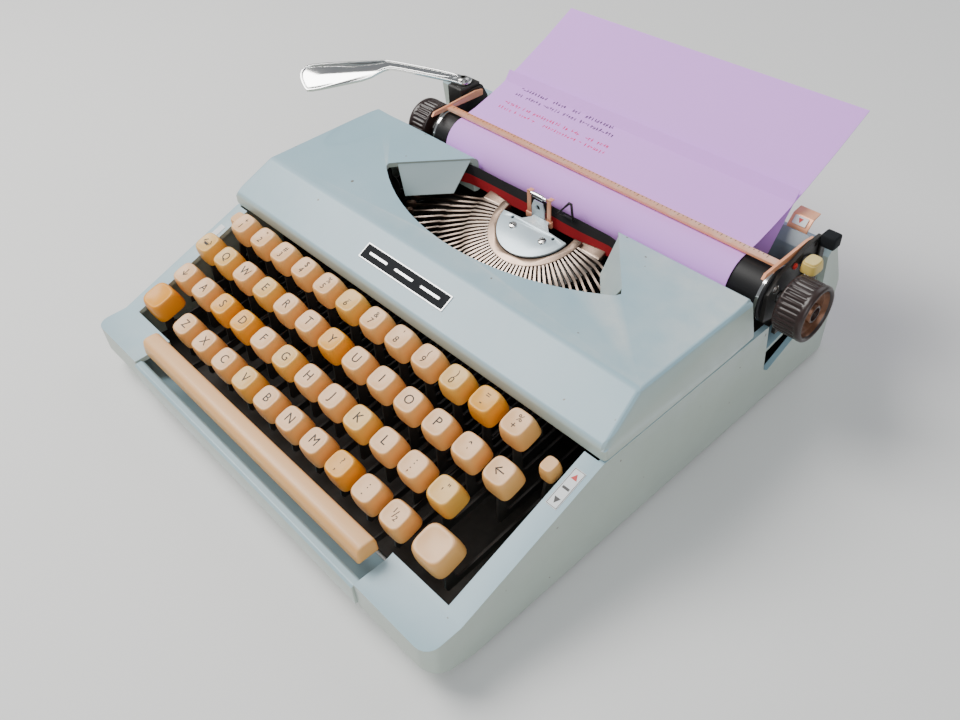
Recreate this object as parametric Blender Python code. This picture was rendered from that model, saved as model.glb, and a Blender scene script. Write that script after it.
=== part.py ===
"""Slim portable typewriter, built as separate named pieces in metres, +Z up, front towards -Y.

Sizes are first laid out from the case: X is measured from the middle of the case, Y from its
front edge and Z from the desk. At the end one root empty moves everything so that the origin
is the middle of the bottom of the overall box.
"""
import math

import bmesh
import bpy
from mathutils import Matrix, Vector

# ---------------------------------------------------------------- driving dimensions (metres)
GAP = 0.0003                # clearance between pieces that touch
WALL = 0.0028               # thickness of the case mouldings

# case
CASE_HALF = 0.142           # half of the case width
CASE_DEPTH = 0.288
CHIN_BOTTOM = 0.014         # underside of the lifted front edge
CHIN_TOP = 0.029            # top of the front edge
CHIN_DEPTH = 0.018          # flat top of the front edge, front to back
BASE_TOP = 0.058            # height of the side walls under the cover
FOOT_HEIGHT = 0.0025
FOOT_RADIUS = 0.009
REAR_TOP = 0.078            # height of the rear wall
REAR_LEAN = 0.018           # how far the rear wall leans forward at its top
REAR_BREAK = 0.038          # height where the rear wall starts to lean
REAR_RIM = 0.007            # thickness of the rear wall's rim
NOTCH_FRONT_Z = 0.024       # side walls behind the cover, front and back
NOTCH_REAR_Z = 0.040
RIM_WIDTH = 0.0105          # flat strip beside the keys

# cover
LIP_Y = 0.100               # front lip of the cover
LIP_HEIGHT = 0.0085
CREASE_Y = 0.126
COVER_TOP = 0.080
COVER_DRAFT = 0.0045        # the cover's sides lean in by this much at the top
TYPE_X = 0.006              # the typing point, right of the case's middle
OPENING_RADIUS = 0.150      # front arc of the opening over the typebars
OPENING_FRONT = 0.139
TAB_HALF = 0.048            # half the gap between the two tabs, at the rear edge
TAB_DROP = 0.017            # depth of the walls around the opening
TAB_LEAN = 0.0090           # how far a tab wall leans into the opening at its foot
TAB_SLANT = 0.0110          # how much shorter its foot is at the rear end
TAB_WALL = 0.0022
TIP_Y = 0.168               # the side tips of the opening
TIP_EASE = 0.004

# carriage
PLATEN_RADIUS = 0.014
PLATEN_LENGTH = 0.229
PLATEN_Z = 0.0735
CARRIAGE_REST = 0.0245      # the middle of the platen, right of the case's middle
PLATEN_COVER_GAP = 0.002    # room between the cover's rear edge and the platen
END_PLATE = 0.002
KNOB_RADIUS = 0.0143
KNOB_LENGTH = 0.0150
KNOB_STANDOFF = 0.0050
SHAFT_RADIUS = 0.0030
BAIL_REACH = 0.025
PAPER_MARGIN = 0.016        # from an end of the platen to the edge of the sheet
PAPER_THICK = 0.0004
PAPER_RISE_Y = 0.093        # how far the top edge of the sheet lies behind the platen
PAPER_RISE_Z = 0.036        # and how far above it

# keyboard
PITCH = 0.0197              # from key to key in a row
ROW_BACK = 0.0193           # from row to row, front to back
ROW_UP = 0.0077             # from row to row, upwards
CAP_GAP = 0.0050            # room between two caps in a row
CAP_HEIGHT = 0.0105
FRONT_KEY_Y = 0.0310        # front row of keys
FRONT_KEY_Z = 0.0418        # its key tops
ROW_STEP = {"number": 0.0, "upper": 0.477, "home": 0.746, "lower": 1.254}   # in pitches
SHIFT_CAP = 0.0190
SHIFT_STEP = {-1: -1.60, 1: 1.19}       # from the ends of the front row, in pitches
SPACE_ARM_THICK = 0.0010
SPACE_HALF = 0.0930
SPACE_Y = 0.0115
SPACE_DEPTH = 0.0110
SPACE_TOP = 0.0385
SPACE_HEIGHT = 0.0095
LEVER_THICK = 0.0015
LEVER_HIGH = 0.0050
FULCRUM_Y = 0.190
FULCRUM_Z = 0.038
ROD_RADIUS = 0.0020
LOCK_Y = 0.095
LOCK_Z = 0.030

# type basket and ribbon
TYPEBARS = 44
SEGMENT_INNER = 0.027
SEGMENT_OUTER = 0.038
TYPEBAR_REACH = 0.072
SPOOL_RADIUS = 0.021
SPOOL_SIDE_ROOM = 0.011     # from a spool out to the side of the case
SPOOL_WALL_ROOM = 0.0008    # from a ribbon's winding to the wall of a tab
SPOOL_WINDING = 0.82        # radius of the wound ribbon, as a share of the flange's
SPOOL_Y = 0.161
SPOOL_Z = 0.0585            # underside of the spools
RIBBON_LOW = 0.0630
RIBBON_WIDTH = 0.0130

# ---------------------------------------------------------------- sizes that follow from them
PLATEN_Y = 0.2225
COVER_REAR = PLATEN_Y - PLATEN_RADIUS - PAPER_THICK - PLATEN_COVER_GAP
WALL_END = COVER_REAR + 0.012
COVER_BOTTOM = BASE_TOP + GAP
RIM_SLOPE = (BASE_TOP - CHIN_TOP) / (LIP_Y - CHIN_DEPTH)
WELL_HALF = CASE_HALF - RIM_WIDTH
CAP_WIDTH = PITCH - CAP_GAP
KEYBOARD_MIDDLE = -0.0047
FIRST_KEY_X = KEYBOARD_MIDDLE - 5.5 * PITCH         # first of the twelve keys of the number row
LEFT_ARM_X = FIRST_KEY_X - 0.1875 * PITCH           # the arms of the shift bail
RIGHT_ARM_X = FIRST_KEY_X + 11.853 * PITCH
LOCK_X = (LEFT_ARM_X + FIRST_KEY_X) / 2             # the shift lock's lever, between its neighbours
SPOOL_X = CASE_HALF - TYPE_X - SPOOL_RADIUS - SPOOL_SIDE_ROOM
OPENING_HALF = SPOOL_X - SPOOL_WINDING * SPOOL_RADIUS - SPOOL_WALL_ROOM
RIBBON_Y = COVER_REAR - 0.0017                      # the ribbon, close behind the opening
FORK_Y = RIBBON_Y - 0.0014
PAPER_HALF = PLATEN_LENGTH / 2 - PAPER_MARGIN
BAIL_Z = PLATEN_Z + PLATEN_RADIUS + PAPER_THICK + 0.0022
PLATEN_LEFT = CARRIAGE_REST - PLATEN_LENGTH / 2
PLATEN_RIGHT = CARRIAGE_REST + PLATEN_LENGTH / 2
ROD_HALF = WELL_HALF - 0.001
LEVER_BORE = ROD_RADIUS + 2 * GAP

COLLECTION = None
CUTTERS = None
MATERIALS = {}
PALETTE = {
    "case_paint": ((0.40, 0.52, 0.57), 0.35, 0.0),
    "key_plastic": ((0.90, 0.62, 0.38), 0.35, 0.0),
    "aged_key_plastic": ((0.85, 0.42, 0.08), 0.35, 0.0),
    "black_metal": ((0.02, 0.02, 0.022), 0.50, 0.3),
    "steel": ((0.55, 0.55, 0.55), 0.35, 1.0),
    "chrome": ((0.80, 0.80, 0.80), 0.12, 1.0),
    "copper_steel": ((0.75, 0.50, 0.38), 0.25, 1.0),
    "platen_rubber": ((0.015, 0.015, 0.017), 0.55, 0.0),
    "knob_plastic": ((0.06, 0.025, 0.022), 0.35, 0.0),
    "paper": ((0.78, 0.60, 0.92), 0.70, 0.0),
    "ribbon": ((0.25, 0.01, 0.02), 0.80, 0.0),
    "grey_paint": ((0.30, 0.36, 0.42), 0.40, 0.2),
}


# ---------------------------------------------------------------- scene set-up
def clear_scene():
    for thing in list(bpy.data.objects):
        bpy.data.objects.remove(thing, do_unlink=True)


def new_collection(name):
    collection = bpy.data.collections.new(name)
    bpy.context.scene.collection.children.link(collection)
    return collection


def finish_material(slot):
    if slot not in MATERIALS:
        colour, roughness, metallic = PALETTE[slot]
        material = bpy.data.materials.new(slot)
        material.use_nodes = True
        shader = material.node_tree.nodes["Principled BSDF"]
        shader.inputs["Base Color"].default_value = (*colour, 1.0)
        shader.inputs["Roughness"].default_value = roughness
        shader.inputs["Metallic"].default_value = metallic
        material.diffuse_color = (*colour, 1.0)
        MATERIALS[slot] = material
    return MATERIALS[slot]


# ---------------------------------------------------------------- shape helpers
def add_object(name, mesh, slot=None, cutter=False):
    thing = bpy.data.objects.new(name, mesh)
    if cutter:
        CUTTERS.objects.link(thing)
        thing.hide_render = True
        thing.display_type = "WIRE"
    else:
        COLLECTION.objects.link(thing)
    if slot:
        mesh.materials.clear()
        mesh.materials.append(finish_material(slot))
    return thing


def mesh_from(bm, name):
    bmesh.ops.recalc_face_normals(bm, faces=bm.faces)
    mesh = bpy.data.meshes.new(name)
    bm.to_mesh(mesh)
    bm.free()
    return mesh


def box_mesh(name, low, high, bevel=0.0, segments=2):
    """A box between two corners, its edges rounded when bevel is given."""
    low, high = Vector(low), Vector(high)
    bm = bmesh.new()
    bmesh.ops.create_cube(bm, size=1.0)
    size = high - low
    bmesh.ops.scale(bm, vec=size, verts=bm.verts)
    bmesh.ops.translate(bm, vec=(low + high) / 2, verts=bm.verts)
    if bevel:
        bmesh.ops.bevel(bm, geom=bm.edges[:], offset=bevel, segments=segments,
                        profile=0.5, affect="EDGES")
    return mesh_from(bm, name)


def rod_mesh(name, start, end, radius, sides=24, end_radius=None):
    """A cylinder or cone between two points."""
    start, end = Vector(start), Vector(end)
    along = end - start
    bm = bmesh.new()
    bmesh.ops.create_cone(bm, cap_ends=True, segments=sides, radius1=radius,
                          radius2=radius if end_radius is None else end_radius,
                          depth=along.length)
    turn = Vector((0, 0, 1)).rotation_difference(along.normalized()).to_matrix().to_4x4()
    bmesh.ops.transform(bm, matrix=Matrix.Translation((start + end) / 2) @ turn, verts=bm.verts)
    return mesh_from(bm, name)


def hull_mesh(name, points, bevel=0.0, segments=2):
    """The convex solid around some corner points, its edges rounded when bevel is given."""
    bm = bmesh.new()
    for point in points:
        bm.verts.new(point)
    result = bmesh.ops.convex_hull(bm, input=bm.verts)
    loose = [item for item in result["geom_interior"] if isinstance(item, bmesh.types.BMVert)]
    bmesh.ops.delete(bm, geom=loose, context="VERTS")
    bmesh.ops.dissolve_limit(bm, angle_limit=math.radians(1), verts=bm.verts, edges=bm.edges)
    if bevel:
        bmesh.ops.bevel(bm, geom=bm.edges[:], offset=bevel, segments=segments,
                        profile=0.5, affect="EDGES")
    return mesh_from(bm, name)


def outline_mesh(name, outline, thickness, holes=()):
    """A flat outline in X and Y, with holes, made solid about Z = 0 as a filled 2D curve."""
    curve = bpy.data.curves.new(name, "CURVE")
    curve.dimensions = "2D"
    curve.fill_mode = "BOTH"
    curve.extrude = thickness / 2
    for loop in (outline, *holes):
        spline = curve.splines.new("POLY")
        spline.points.add(len(loop) - 1)
        for point, (x, y) in zip(spline.points, loop):
            point.co = (x, y, 0.0, 1.0)
        spline.use_cyclic_u = True
    thing = bpy.data.objects.new(name, curve)
    bpy.context.scene.collection.objects.link(thing)
    bpy.context.view_layer.update()
    mesh = bpy.data.meshes.new_from_object(thing.evaluated_get(
        bpy.context.evaluated_depsgraph_get()))
    bpy.data.objects.remove(thing, do_unlink=True)
    bpy.data.curves.remove(curve)
    bm = bmesh.new()
    bm.from_mesh(mesh)
    bpy.data.meshes.remove(mesh)
    bmesh.ops.remove_doubles(bm, verts=bm.verts, dist=0.000002)
    return mesh_from(bm, name)


# side outlines are drawn in (Y, Z); this turns local (x, y, z) into world (z, x, y)
SIDEWAYS = Matrix(((0, 0, 1, 0), (1, 0, 0, 0), (0, 1, 0, 0), (0, 0, 0, 1)))


def side_mesh(name, outline, x_low, x_high, holes=()):
    """A side outline in Y and Z, made solid between two X values."""
    mesh = outline_mesh(name, outline, x_high - x_low, holes)
    mesh.transform(Matrix.Translation(((x_low + x_high) / 2, 0, 0)) @ SIDEWAYS)
    return mesh


def plan_mesh(name, outline, z_low, z_high, holes=()):
    """A plan outline in X and Y, made solid between two heights."""
    mesh = outline_mesh(name, outline, z_high - z_low, holes)
    mesh.transform(Matrix.Translation((0, 0, (z_low + z_high) / 2)))
    return mesh


def ring_points(centre, radius, count, start=0.0, sweep=2 * math.pi):
    """Points on an arc; a full circle leaves out its repeated last point."""
    steps = count if abs(sweep) >= 2 * math.pi else count - 1
    angles = [start + sweep * step / steps for step in range(count)]
    return [(centre[0] + radius * math.cos(a), centre[1] + radius * math.sin(a)) for a in angles]


def apply_boolean(target, other, operation):
    """Cut or join at once, so each piece stays one body."""
    modifier = target.modifiers.new(operation.lower(), "BOOLEAN")
    modifier.operation = operation
    modifier.solver = "EXACT"
    modifier.object = other
    bpy.context.view_layer.update()
    graph = bpy.context.evaluated_depsgraph_get()
    mesh = bpy.data.meshes.new_from_object(target.evaluated_get(graph))
    old = target.data
    target.modifiers.clear()
    mesh.name = old.name
    target.data = mesh
    bpy.data.meshes.remove(old)


def cut(target, *meshes):
    for number, mesh in enumerate(meshes):
        cutter = add_object(f"{target.name}_cut_{len(CUTTERS.objects)}_{number}", mesh, cutter=True)
        apply_boolean(target, cutter, "DIFFERENCE")


def join(target, *meshes):
    for mesh in meshes:
        other = add_object(f"{target.name}_add_{len(CUTTERS.objects)}", mesh, cutter=True)
        apply_boolean(target, other, "UNION")


def smooth(thing, angle=35):
    thing.data.shade_smooth()
    thing.data.set_sharp_from_angle(angle=math.radians(angle))


def pivot(name, place, parent=None):
    """An empty on a joint's axis, which carries the pieces that move with it."""
    empty = bpy.data.objects.new(name, None)
    empty.empty_display_size = 0.01
    bpy.context.scene.collection.objects.link(empty)
    empty.location = place
    if parent:
        empty.parent = parent
        empty.location = Vector(place) - parent.matrix_world.translation
    bpy.context.view_layer.update()
    return empty


def carry(parent, *things):
    """Parent pieces that were drawn in world coordinates, without moving them."""
    for thing in things:
        thing.parent = parent
        thing.location = -parent.matrix_world.translation
    return things[0] if len(things) == 1 else things


# ---------------------------------------------------------------- case
def rim_height(y):
    """Height of the case's top along the keyboard."""
    return CHIN_TOP + max(0.0, y - CHIN_DEPTH) * RIM_SLOPE


def case_outline(inset=0.0, top_inset=None):
    """Side view of the base moulding, in Y and Z."""
    top_inset = inset if top_inset is None else top_inset
    rear = CASE_DEPTH - inset
    return [
        (inset, CHIN_BOTTOM), (inset, CHIN_TOP - top_inset), (CHIN_DEPTH, CHIN_TOP - top_inset),
        (LIP_Y, BASE_TOP - top_inset), (WALL_END - inset, BASE_TOP - top_inset),
        (WALL_END + 0.004 - inset, NOTCH_FRONT_Z + 0.003 - top_inset),
        (WALL_END + 0.008 - inset, NOTCH_FRONT_Z - top_inset),
        (CASE_DEPTH - REAR_LEAN - 0.004 + inset, NOTCH_REAR_Z - top_inset),
        (CASE_DEPTH - REAR_LEAN - REAR_RIM + inset, REAR_TOP - 0.004 - top_inset),
        (CASE_DEPTH - REAR_LEAN - REAR_RIM + 0.003, REAR_TOP - top_inset),
        (CASE_DEPTH - REAR_LEAN - inset, REAR_TOP - top_inset),
        (rear, REAR_BREAK), (rear, FOOT_HEIGHT), (0.024, FOOT_HEIGHT), (0.010, 0.0065),
    ]


def build_base():
    base = add_object("base_shell", side_mesh("base_shell", case_outline(), -CASE_HALF, CASE_HALF),
                      "case_paint")
    corner = 0.007
    plan = []
    for x, y, turn in ((CASE_HALF, CASE_DEPTH, 0), (-CASE_HALF, CASE_DEPTH, 1),
                       (-CASE_HALF, 0, 2), (CASE_HALF, 0, 3)):
        centre = (x - math.copysign(corner, x), y - math.copysign(corner, y - 0.1))
        plan += ring_points(centre, corner, 6, turn * math.pi / 2, math.pi / 2)
    rounding = add_object("base_plan", plan_mesh("base_plan", plan, -0.01, 0.12), cutter=True)
    apply_boolean(base, rounding, "INTERSECT")
    inner = CASE_HALF - WALL
    floor = FOOT_HEIGHT - 0.002
    void = [(0.026, floor), (0.026 - WALL, 0.008), (WALL, CHIN_BOTTOM + WALL),
            (WALL, CHIN_TOP - WALL), (CHIN_DEPTH, CHIN_TOP - WALL), (LIP_Y, BASE_TOP - WALL),
            (WALL_END - WALL, BASE_TOP - WALL), (WALL_END + 0.001, NOTCH_FRONT_Z - WALL),
            (CASE_DEPTH - REAR_LEAN - 0.004, NOTCH_REAR_Z - WALL),
            (CASE_DEPTH - WALL, REAR_BREAK - 0.002), (CASE_DEPTH - WALL, floor)]
    well = [(CHIN_DEPTH + 0.003, 0.01), (CHIN_DEPTH + 0.003, 0.12),
            (LIP_Y + 0.001, 0.12), (LIP_Y + 0.001, 0.01)]
    channel = [(LIP_Y, 0.01), (LIP_Y, 0.12), (CASE_DEPTH - REAR_LEAN - REAR_RIM, 0.12),
               (CASE_DEPTH - REAR_LEAN - REAR_RIM, 0.045), (CASE_DEPTH - 0.012, 0.01)]
    cut(base,
        side_mesh("void", void, -inner, inner),
        side_mesh("well", well, -WELL_HALF, WELL_HALF),
        side_mesh("channel", channel, -inner, inner),
        box_mesh("space_notch", (-SPACE_HALF - 0.003, 0.0045, 0.020),
                 (SPACE_HALF + 0.003, CHIN_DEPTH + 0.006, 0.060)),
        box_mesh("panel_notch", (-SPACE_HALF - 0.003, -0.010, 0.0),
                 (SPACE_HALF + 0.003, 0.0048, 0.060)))
    smooth(base)
    return base


def build_front_panel():
    half = SPACE_HALF + 0.003 - GAP
    outline = [(-0.0012, CHIN_BOTTOM + 0.001), (-0.0012, CHIN_TOP - 0.0022), (0.0, CHIN_TOP - 0.001),
               (0.0030, CHIN_TOP - 0.001), (0.0045 - GAP, CHIN_TOP - 0.0022),
               (0.0045 - GAP, 0.019), (0.0022, 0.019), (0.0022, CHIN_BOTTOM + 0.001)]
    panel = add_object("front_panel", side_mesh("front_panel", outline, -half, half), "case_paint")
    smooth(panel)
    return panel


def build_bottom():
    edge = CASE_HALF - WALL - GAP
    plate = add_object("bottom_plate", box_mesh("bottom_plate", (-edge, 0.0265, FOOT_HEIGHT + GAP),
                       (edge, CASE_DEPTH - WALL - GAP, FOOT_HEIGHT + 0.0015)), "black_metal")
    for side in (-1, 1):
        for y in (0.045, CASE_DEPTH - 0.023):
            x = side * (CASE_HALF - 0.032)
            join(plate, rod_mesh("foot", (x, y, 0), (x, y, FOOT_HEIGHT + GAP * 2), FOOT_RADIUS, 24))
    return plate


# ---------------------------------------------------------------- cover
def cover_points(inset=0.0, drop=0.0):
    """Corners of the cover: bottom, front lip, crease and rear, on both sides."""
    corners = []
    lean = COVER_DRAFT
    for side in (-1, 1):
        bottom = CASE_HALF + 0.0008 - inset
        corners += [
            (side * bottom, LIP_Y + inset, COVER_BOTTOM - drop),
            (side * bottom, COVER_REAR - inset, COVER_BOTTOM - drop),
            (side * (bottom - lean * 0.2), LIP_Y + inset, COVER_BOTTOM + LIP_HEIGHT - inset * 0.7),
            (side * (bottom - lean), CREASE_Y + inset * 0.3, COVER_TOP - inset),
            (side * (bottom - lean), COVER_REAR - inset, COVER_TOP - inset),
        ]
    return corners


def opening_outline():
    """Plan of the opening over the typebars: a front arc and two tabs, open to the rear."""
    rear = COVER_REAR + 0.004
    left, right = TYPE_X - OPENING_HALF, TYPE_X + OPENING_HALF
    tip_y = TIP_Y
    half_angle = math.asin((OPENING_HALF - TIP_EASE) / OPENING_RADIUS)
    centre = (TYPE_X, OPENING_FRONT + OPENING_RADIUS)
    arc = ring_points(centre, OPENING_RADIUS, 19, -math.pi / 2 - half_angle, 2 * half_angle)
    return [(TYPE_X - TAB_HALF, rear), (left + 0.003, tip_y + TIP_EASE), (left, tip_y),
            (left + 0.0012, tip_y - 0.0025), *arc, (right - 0.0012, tip_y - 0.0025), (right, tip_y),
            (right - 0.003, tip_y + TIP_EASE), (TYPE_X + TAB_HALF, rear)]


def tab_wall_mesh(side):
    """The sloping wall under one tab: it leans into the opening, and its foot is shorter."""
    tip = Vector((side * (OPENING_HALF - 0.003), TIP_Y + TIP_EASE, 0))
    rear_edge = Vector((side * TAB_HALF, COVER_REAR + 0.004, 0))
    along = (rear_edge - tip).normalized()
    outward = Vector((-along.y * side, along.x * side, 0)) * -1
    if outward.x * side < 0:
        outward = -outward
    end = rear_edge - along * 0.0095
    high, low = COVER_TOP - 0.0010, COVER_TOP - TAB_DROP
    points = []
    for place, height in ((tip, high), (end, high),
                          (tip + along * 0.003 - outward * TAB_LEAN, low),
                          (end - along * TAB_SLANT - outward * TAB_LEAN, low)):
        for offset in (0.0, TAB_WALL):
            point = place + outward * offset
            points.append((TYPE_X + point.x, point.y, height))
    return hull_mesh("tab_wall", points, 0.0004, 2)


def dish_mesh(place, radii):
    """A flattened ball that presses a shallow finger dish into a top face."""
    bm = bmesh.new()
    bmesh.ops.create_uvsphere(bm, u_segments=32, v_segments=16, radius=1.0)
    bmesh.ops.scale(bm, vec=radii, verts=bm.verts)
    bmesh.ops.translate(bm, vec=place, verts=bm.verts)
    return mesh_from(bm, "dish")


def build_cover():
    cover = add_object("top_cover", hull_mesh("top_cover", cover_points(), 0.0022, 3), "case_paint")
    cut(cover, hull_mesh("cover_void", cover_points(WALL, 0.02)))
    cut(cover, plan_mesh("opening", opening_outline(), COVER_TOP - 0.03, COVER_TOP + 0.01),
        dish_mesh((-CASE_HALF + 0.0175, COVER_REAR - 0.012, COVER_TOP + 0.0004),
                  (0.0150, 0.0400, 0.0019)))
    for side in (-1, 1):
        join(cover, tab_wall_mesh(side))
    smooth(cover)
    return cover


# ---------------------------------------------------------------- keyboard
def key_place(row, column):
    """Middle of a key's top: X, Y and Z."""
    step = {"lower": 0, "home": 1, "upper": 2, "number": 3}[row]
    return Vector((FIRST_KEY_X + (ROW_STEP[row] + column) * PITCH,
                   FRONT_KEY_Y + step * ROW_BACK, FRONT_KEY_Z + step * ROW_UP))


def cap_mesh(name, top, width, depth, height=CAP_HEIGHT):
    """A keycap: wider at the bottom, with rounded corners, tilted like the key rows."""
    bm = bmesh.new()
    bmesh.ops.create_cube(bm, size=1.0)
    bmesh.ops.scale(bm, vec=(width, depth, height), verts=bm.verts)
    for vert in bm.verts:
        if vert.co.z > 0:
            vert.co.x *= 0.80
            vert.co.y *= 0.80
    upright = [edge for edge in bm.edges if abs(edge.verts[0].co.z - edge.verts[1].co.z) > height / 2]
    bmesh.ops.bevel(bm, geom=upright, offset=width * 0.26, segments=2, profile=0.5, affect="EDGES")
    lid = [edge for edge in bm.edges if min(v.co.z for v in edge.verts) > height * 0.49]
    bmesh.ops.bevel(bm, geom=lid, offset=0.0011, segments=1, profile=0.5, affect="EDGES")
    tilt = Matrix.Rotation(math.atan2(ROW_UP, ROW_BACK) * 0.75, 4, "X")
    bmesh.ops.transform(bm, matrix=Matrix.Translation(top) @ tilt
                        @ Matrix.Translation((0, 0, -height / 2)), verts=bm.verts)
    return mesh_from(bm, name)


def lever_line(y):
    """Height of the middle of the key levers at a distance from the front."""
    front_y, front_z = FRONT_KEY_Y, 0.0215
    return front_z + (FULCRUM_Z - front_z) * (y - front_y) / (FULCRUM_Y - front_y)


def lever_mesh(name, x, top, foot=0.003):
    """A key lever: a ring on the fulcrum rod, a long bar and a stem up into its cap."""
    half = LEVER_HIGH / 2
    ring = ring_points((FULCRUM_Y, FULCRUM_Z), 0.0045, 6, -0.62 * math.pi, 1.24 * math.pi)
    outline = [*ring, (top.y + foot, lever_line(top.y) + half),
               (top.y + foot * 0.7, top.z - CAP_HEIGHT + 0.003),
               (top.y - foot * 0.7, top.z - CAP_HEIGHT + 0.003),
               (top.y - foot, lever_line(top.y) - half)]
    bore = ring_points((FULCRUM_Y, FULCRUM_Z), LEVER_BORE, 8)
    return side_mesh(name, outline, x - LEVER_THICK / 2, x + LEVER_THICK / 2, [bore])


def build_key(name, row, column, slot="key_plastic"):
    top = key_place(row, column)
    key = add_object(name, lever_mesh(name, top.x, top), slot)
    join(key, cap_mesh("cap", top, CAP_WIDTH, CAP_WIDTH))
    smooth(key)
    return key


LETTER_ROWS = {
    "upper": ["q", "w", "e", "r", "t", "y", "u", "i", "o", "p", "accent"],
    "home": ["a", "s", "d", "f", "g", "h", "j", "k", "l", "colon", "quote"],
    "lower": ["z", "x", "c", "v", "b", "n", "m", "comma", "period", "slash"],
}
AGED_KEYS = {"s", "d", "y", "comma"}


def build_letter_keys(hub):
    keys = []
    for row, letters in LETTER_ROWS.items():
        for column, letter in enumerate(letters):
            slot = "aged_key_plastic" if letter in AGED_KEYS else "key_plastic"
            keys.append(build_key(f"key_{letter}", row, column, slot))
    for key in keys:
        own_pivot = pivot(f"{key.name}_pivot", hub.matrix_world.translation, hub.parent)
        carry(own_pivot, key)
    return keys


def build_number_bank():
    """The twelve keys of the number row, joined by a bar under their levers."""
    bank = None
    for column in range(12):
        top = key_place("number", column)
        if bank is None:
            bank = add_object("number_key_bank", lever_mesh("number_key_bank", top.x, top),
                              "key_plastic")
        else:
            join(bank, lever_mesh("bank_lever", top.x, top))
        join(bank, cap_mesh("bank_cap", top, CAP_WIDTH, CAP_WIDTH))
    first, last = key_place("number", 0), key_place("number", 11)
    tie_y, tie_z = first.y + 0.012, first.z - 0.019
    join(bank, box_mesh("bank_tie", (first.x - 0.002, tie_y, tie_z),
                        (last.x + 0.002, tie_y + 0.0025, tie_z + 0.004)))
    for column in range(12):
        top = key_place("number", column)
        join(bank, box_mesh("bank_post", (top.x - LEVER_THICK / 2, tie_y - 0.0005, lever_line(tie_y)),
                            (top.x + LEVER_THICK / 2, tie_y + 0.003, tie_z + 0.002)))
    smooth(bank)
    return bank


def space_arm_x(side):
    """Middle of the gap between a home row lever and a cap of the front row, near the bar's end."""
    column = 1 if side < 0 else 9
    lever_side = key_place("home", column).x + LEVER_THICK / 2
    cap_side = key_place("lower", column).x - CAP_WIDTH / 2
    return (lever_side + cap_side) / 2


def build_space_bar():
    low = (-SPACE_HALF, SPACE_Y - SPACE_DEPTH / 2, SPACE_TOP - SPACE_HEIGHT)
    high = (SPACE_HALF, SPACE_Y + SPACE_DEPTH / 2, SPACE_TOP)
    bar = add_object("space_bar", box_mesh("space_bar", low, high, 0.0016, 2), "key_plastic")
    for side in (-1, 1):
        x = space_arm_x(side)
        ring = ring_points((FULCRUM_Y, FULCRUM_Z), 0.0045, 9, -0.62 * math.pi, 1.24 * math.pi)
        arm = [*ring, (0.034, lever_line(0.034) + 0.002), (SPACE_Y + 0.003, 0.0245),
               (SPACE_Y + 0.002, SPACE_TOP - SPACE_HEIGHT + 0.003),
               (SPACE_Y - 0.002, SPACE_TOP - SPACE_HEIGHT + 0.003),
               (SPACE_Y - 0.002, 0.0208), (0.034, lever_line(0.034) - 0.0025)]
        bore = ring_points((FULCRUM_Y, FULCRUM_Z), LEVER_BORE, 12)
        join(bar, side_mesh("space_arm", arm, x - SPACE_ARM_THICK / 2, x + SPACE_ARM_THICK / 2, [bore]))
    smooth(bar)
    return bar


def shift_top(side):
    end_key = key_place("lower", 0 if side < 0 else 9)
    return end_key + Vector((SHIFT_STEP[side] * PITCH, 0.001, 0.0012))


def build_shift():
    """Both shift keys on one bail, so they go down together."""
    arm_x = {-1: LEFT_ARM_X, 1: RIGHT_ARM_X}
    bail = None
    for side in (-1, 1):
        top = shift_top(side)
        x = arm_x[side]
        mesh = lever_mesh("shift_arm", x, top)
        if bail is None:
            bail = add_object("shift_bail", mesh, "key_plastic")
            join(bail, box_mesh("shift_cross", (arm_x[-1] - 0.0005, 0.150, 0.0180),
                                (arm_x[1] + 0.0005, 0.154, 0.0220)))
        else:
            join(bail, mesh)
        join(bail, box_mesh("shift_drop", (x - 0.001, 0.1495, 0.0185),
                            (x + 0.001, 0.1545, lever_line(0.152))))
        join(bail, cap_mesh("shift_cap", top, SHIFT_CAP, SHIFT_CAP * 0.95))
    join(bail, rod_mesh("lock_pin", (arm_x[-1], LOCK_Y, LOCK_Z), (LOCK_X + 0.0009, LOCK_Y, LOCK_Z),
                        0.0011, 10))
    smooth(bail)
    return bail


def build_side_keys():
    """Shift lock, the key left of Q and the backspace: each has a lever of its own."""
    lock_top = key_place("home", -1)
    lock_x, lock_half, lock_y = LOCK_X, 0.0006, LOCK_Y
    ring = ring_points((lock_y, LOCK_Z), 0.0045, 9, -0.55 * math.pi, 1.1 * math.pi)
    outline = [*ring, (lock_top.y + 0.003, 0.036), (lock_top.y + 0.002, lock_top.z - CAP_HEIGHT + 0.003),
               (lock_top.y - 0.002, lock_top.z - CAP_HEIGHT + 0.003), (lock_top.y - 0.003, 0.0315)]
    bore = ring_points((lock_y, LOCK_Z), 0.0015, 8)
    lock = add_object("shift_lock_key", side_mesh("shift_lock_key", outline, lock_x - lock_half,
                                                  lock_x + lock_half, [bore]), "key_plastic")
    join(lock, cap_mesh("lock_cap", lock_top, CAP_WIDTH, CAP_WIDTH))
    smooth(lock)
    release = build_key("margin_release_key", "upper", -1)
    backspace = build_key("backspace_key", "upper", 11)
    return lock, release, backspace


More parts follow.
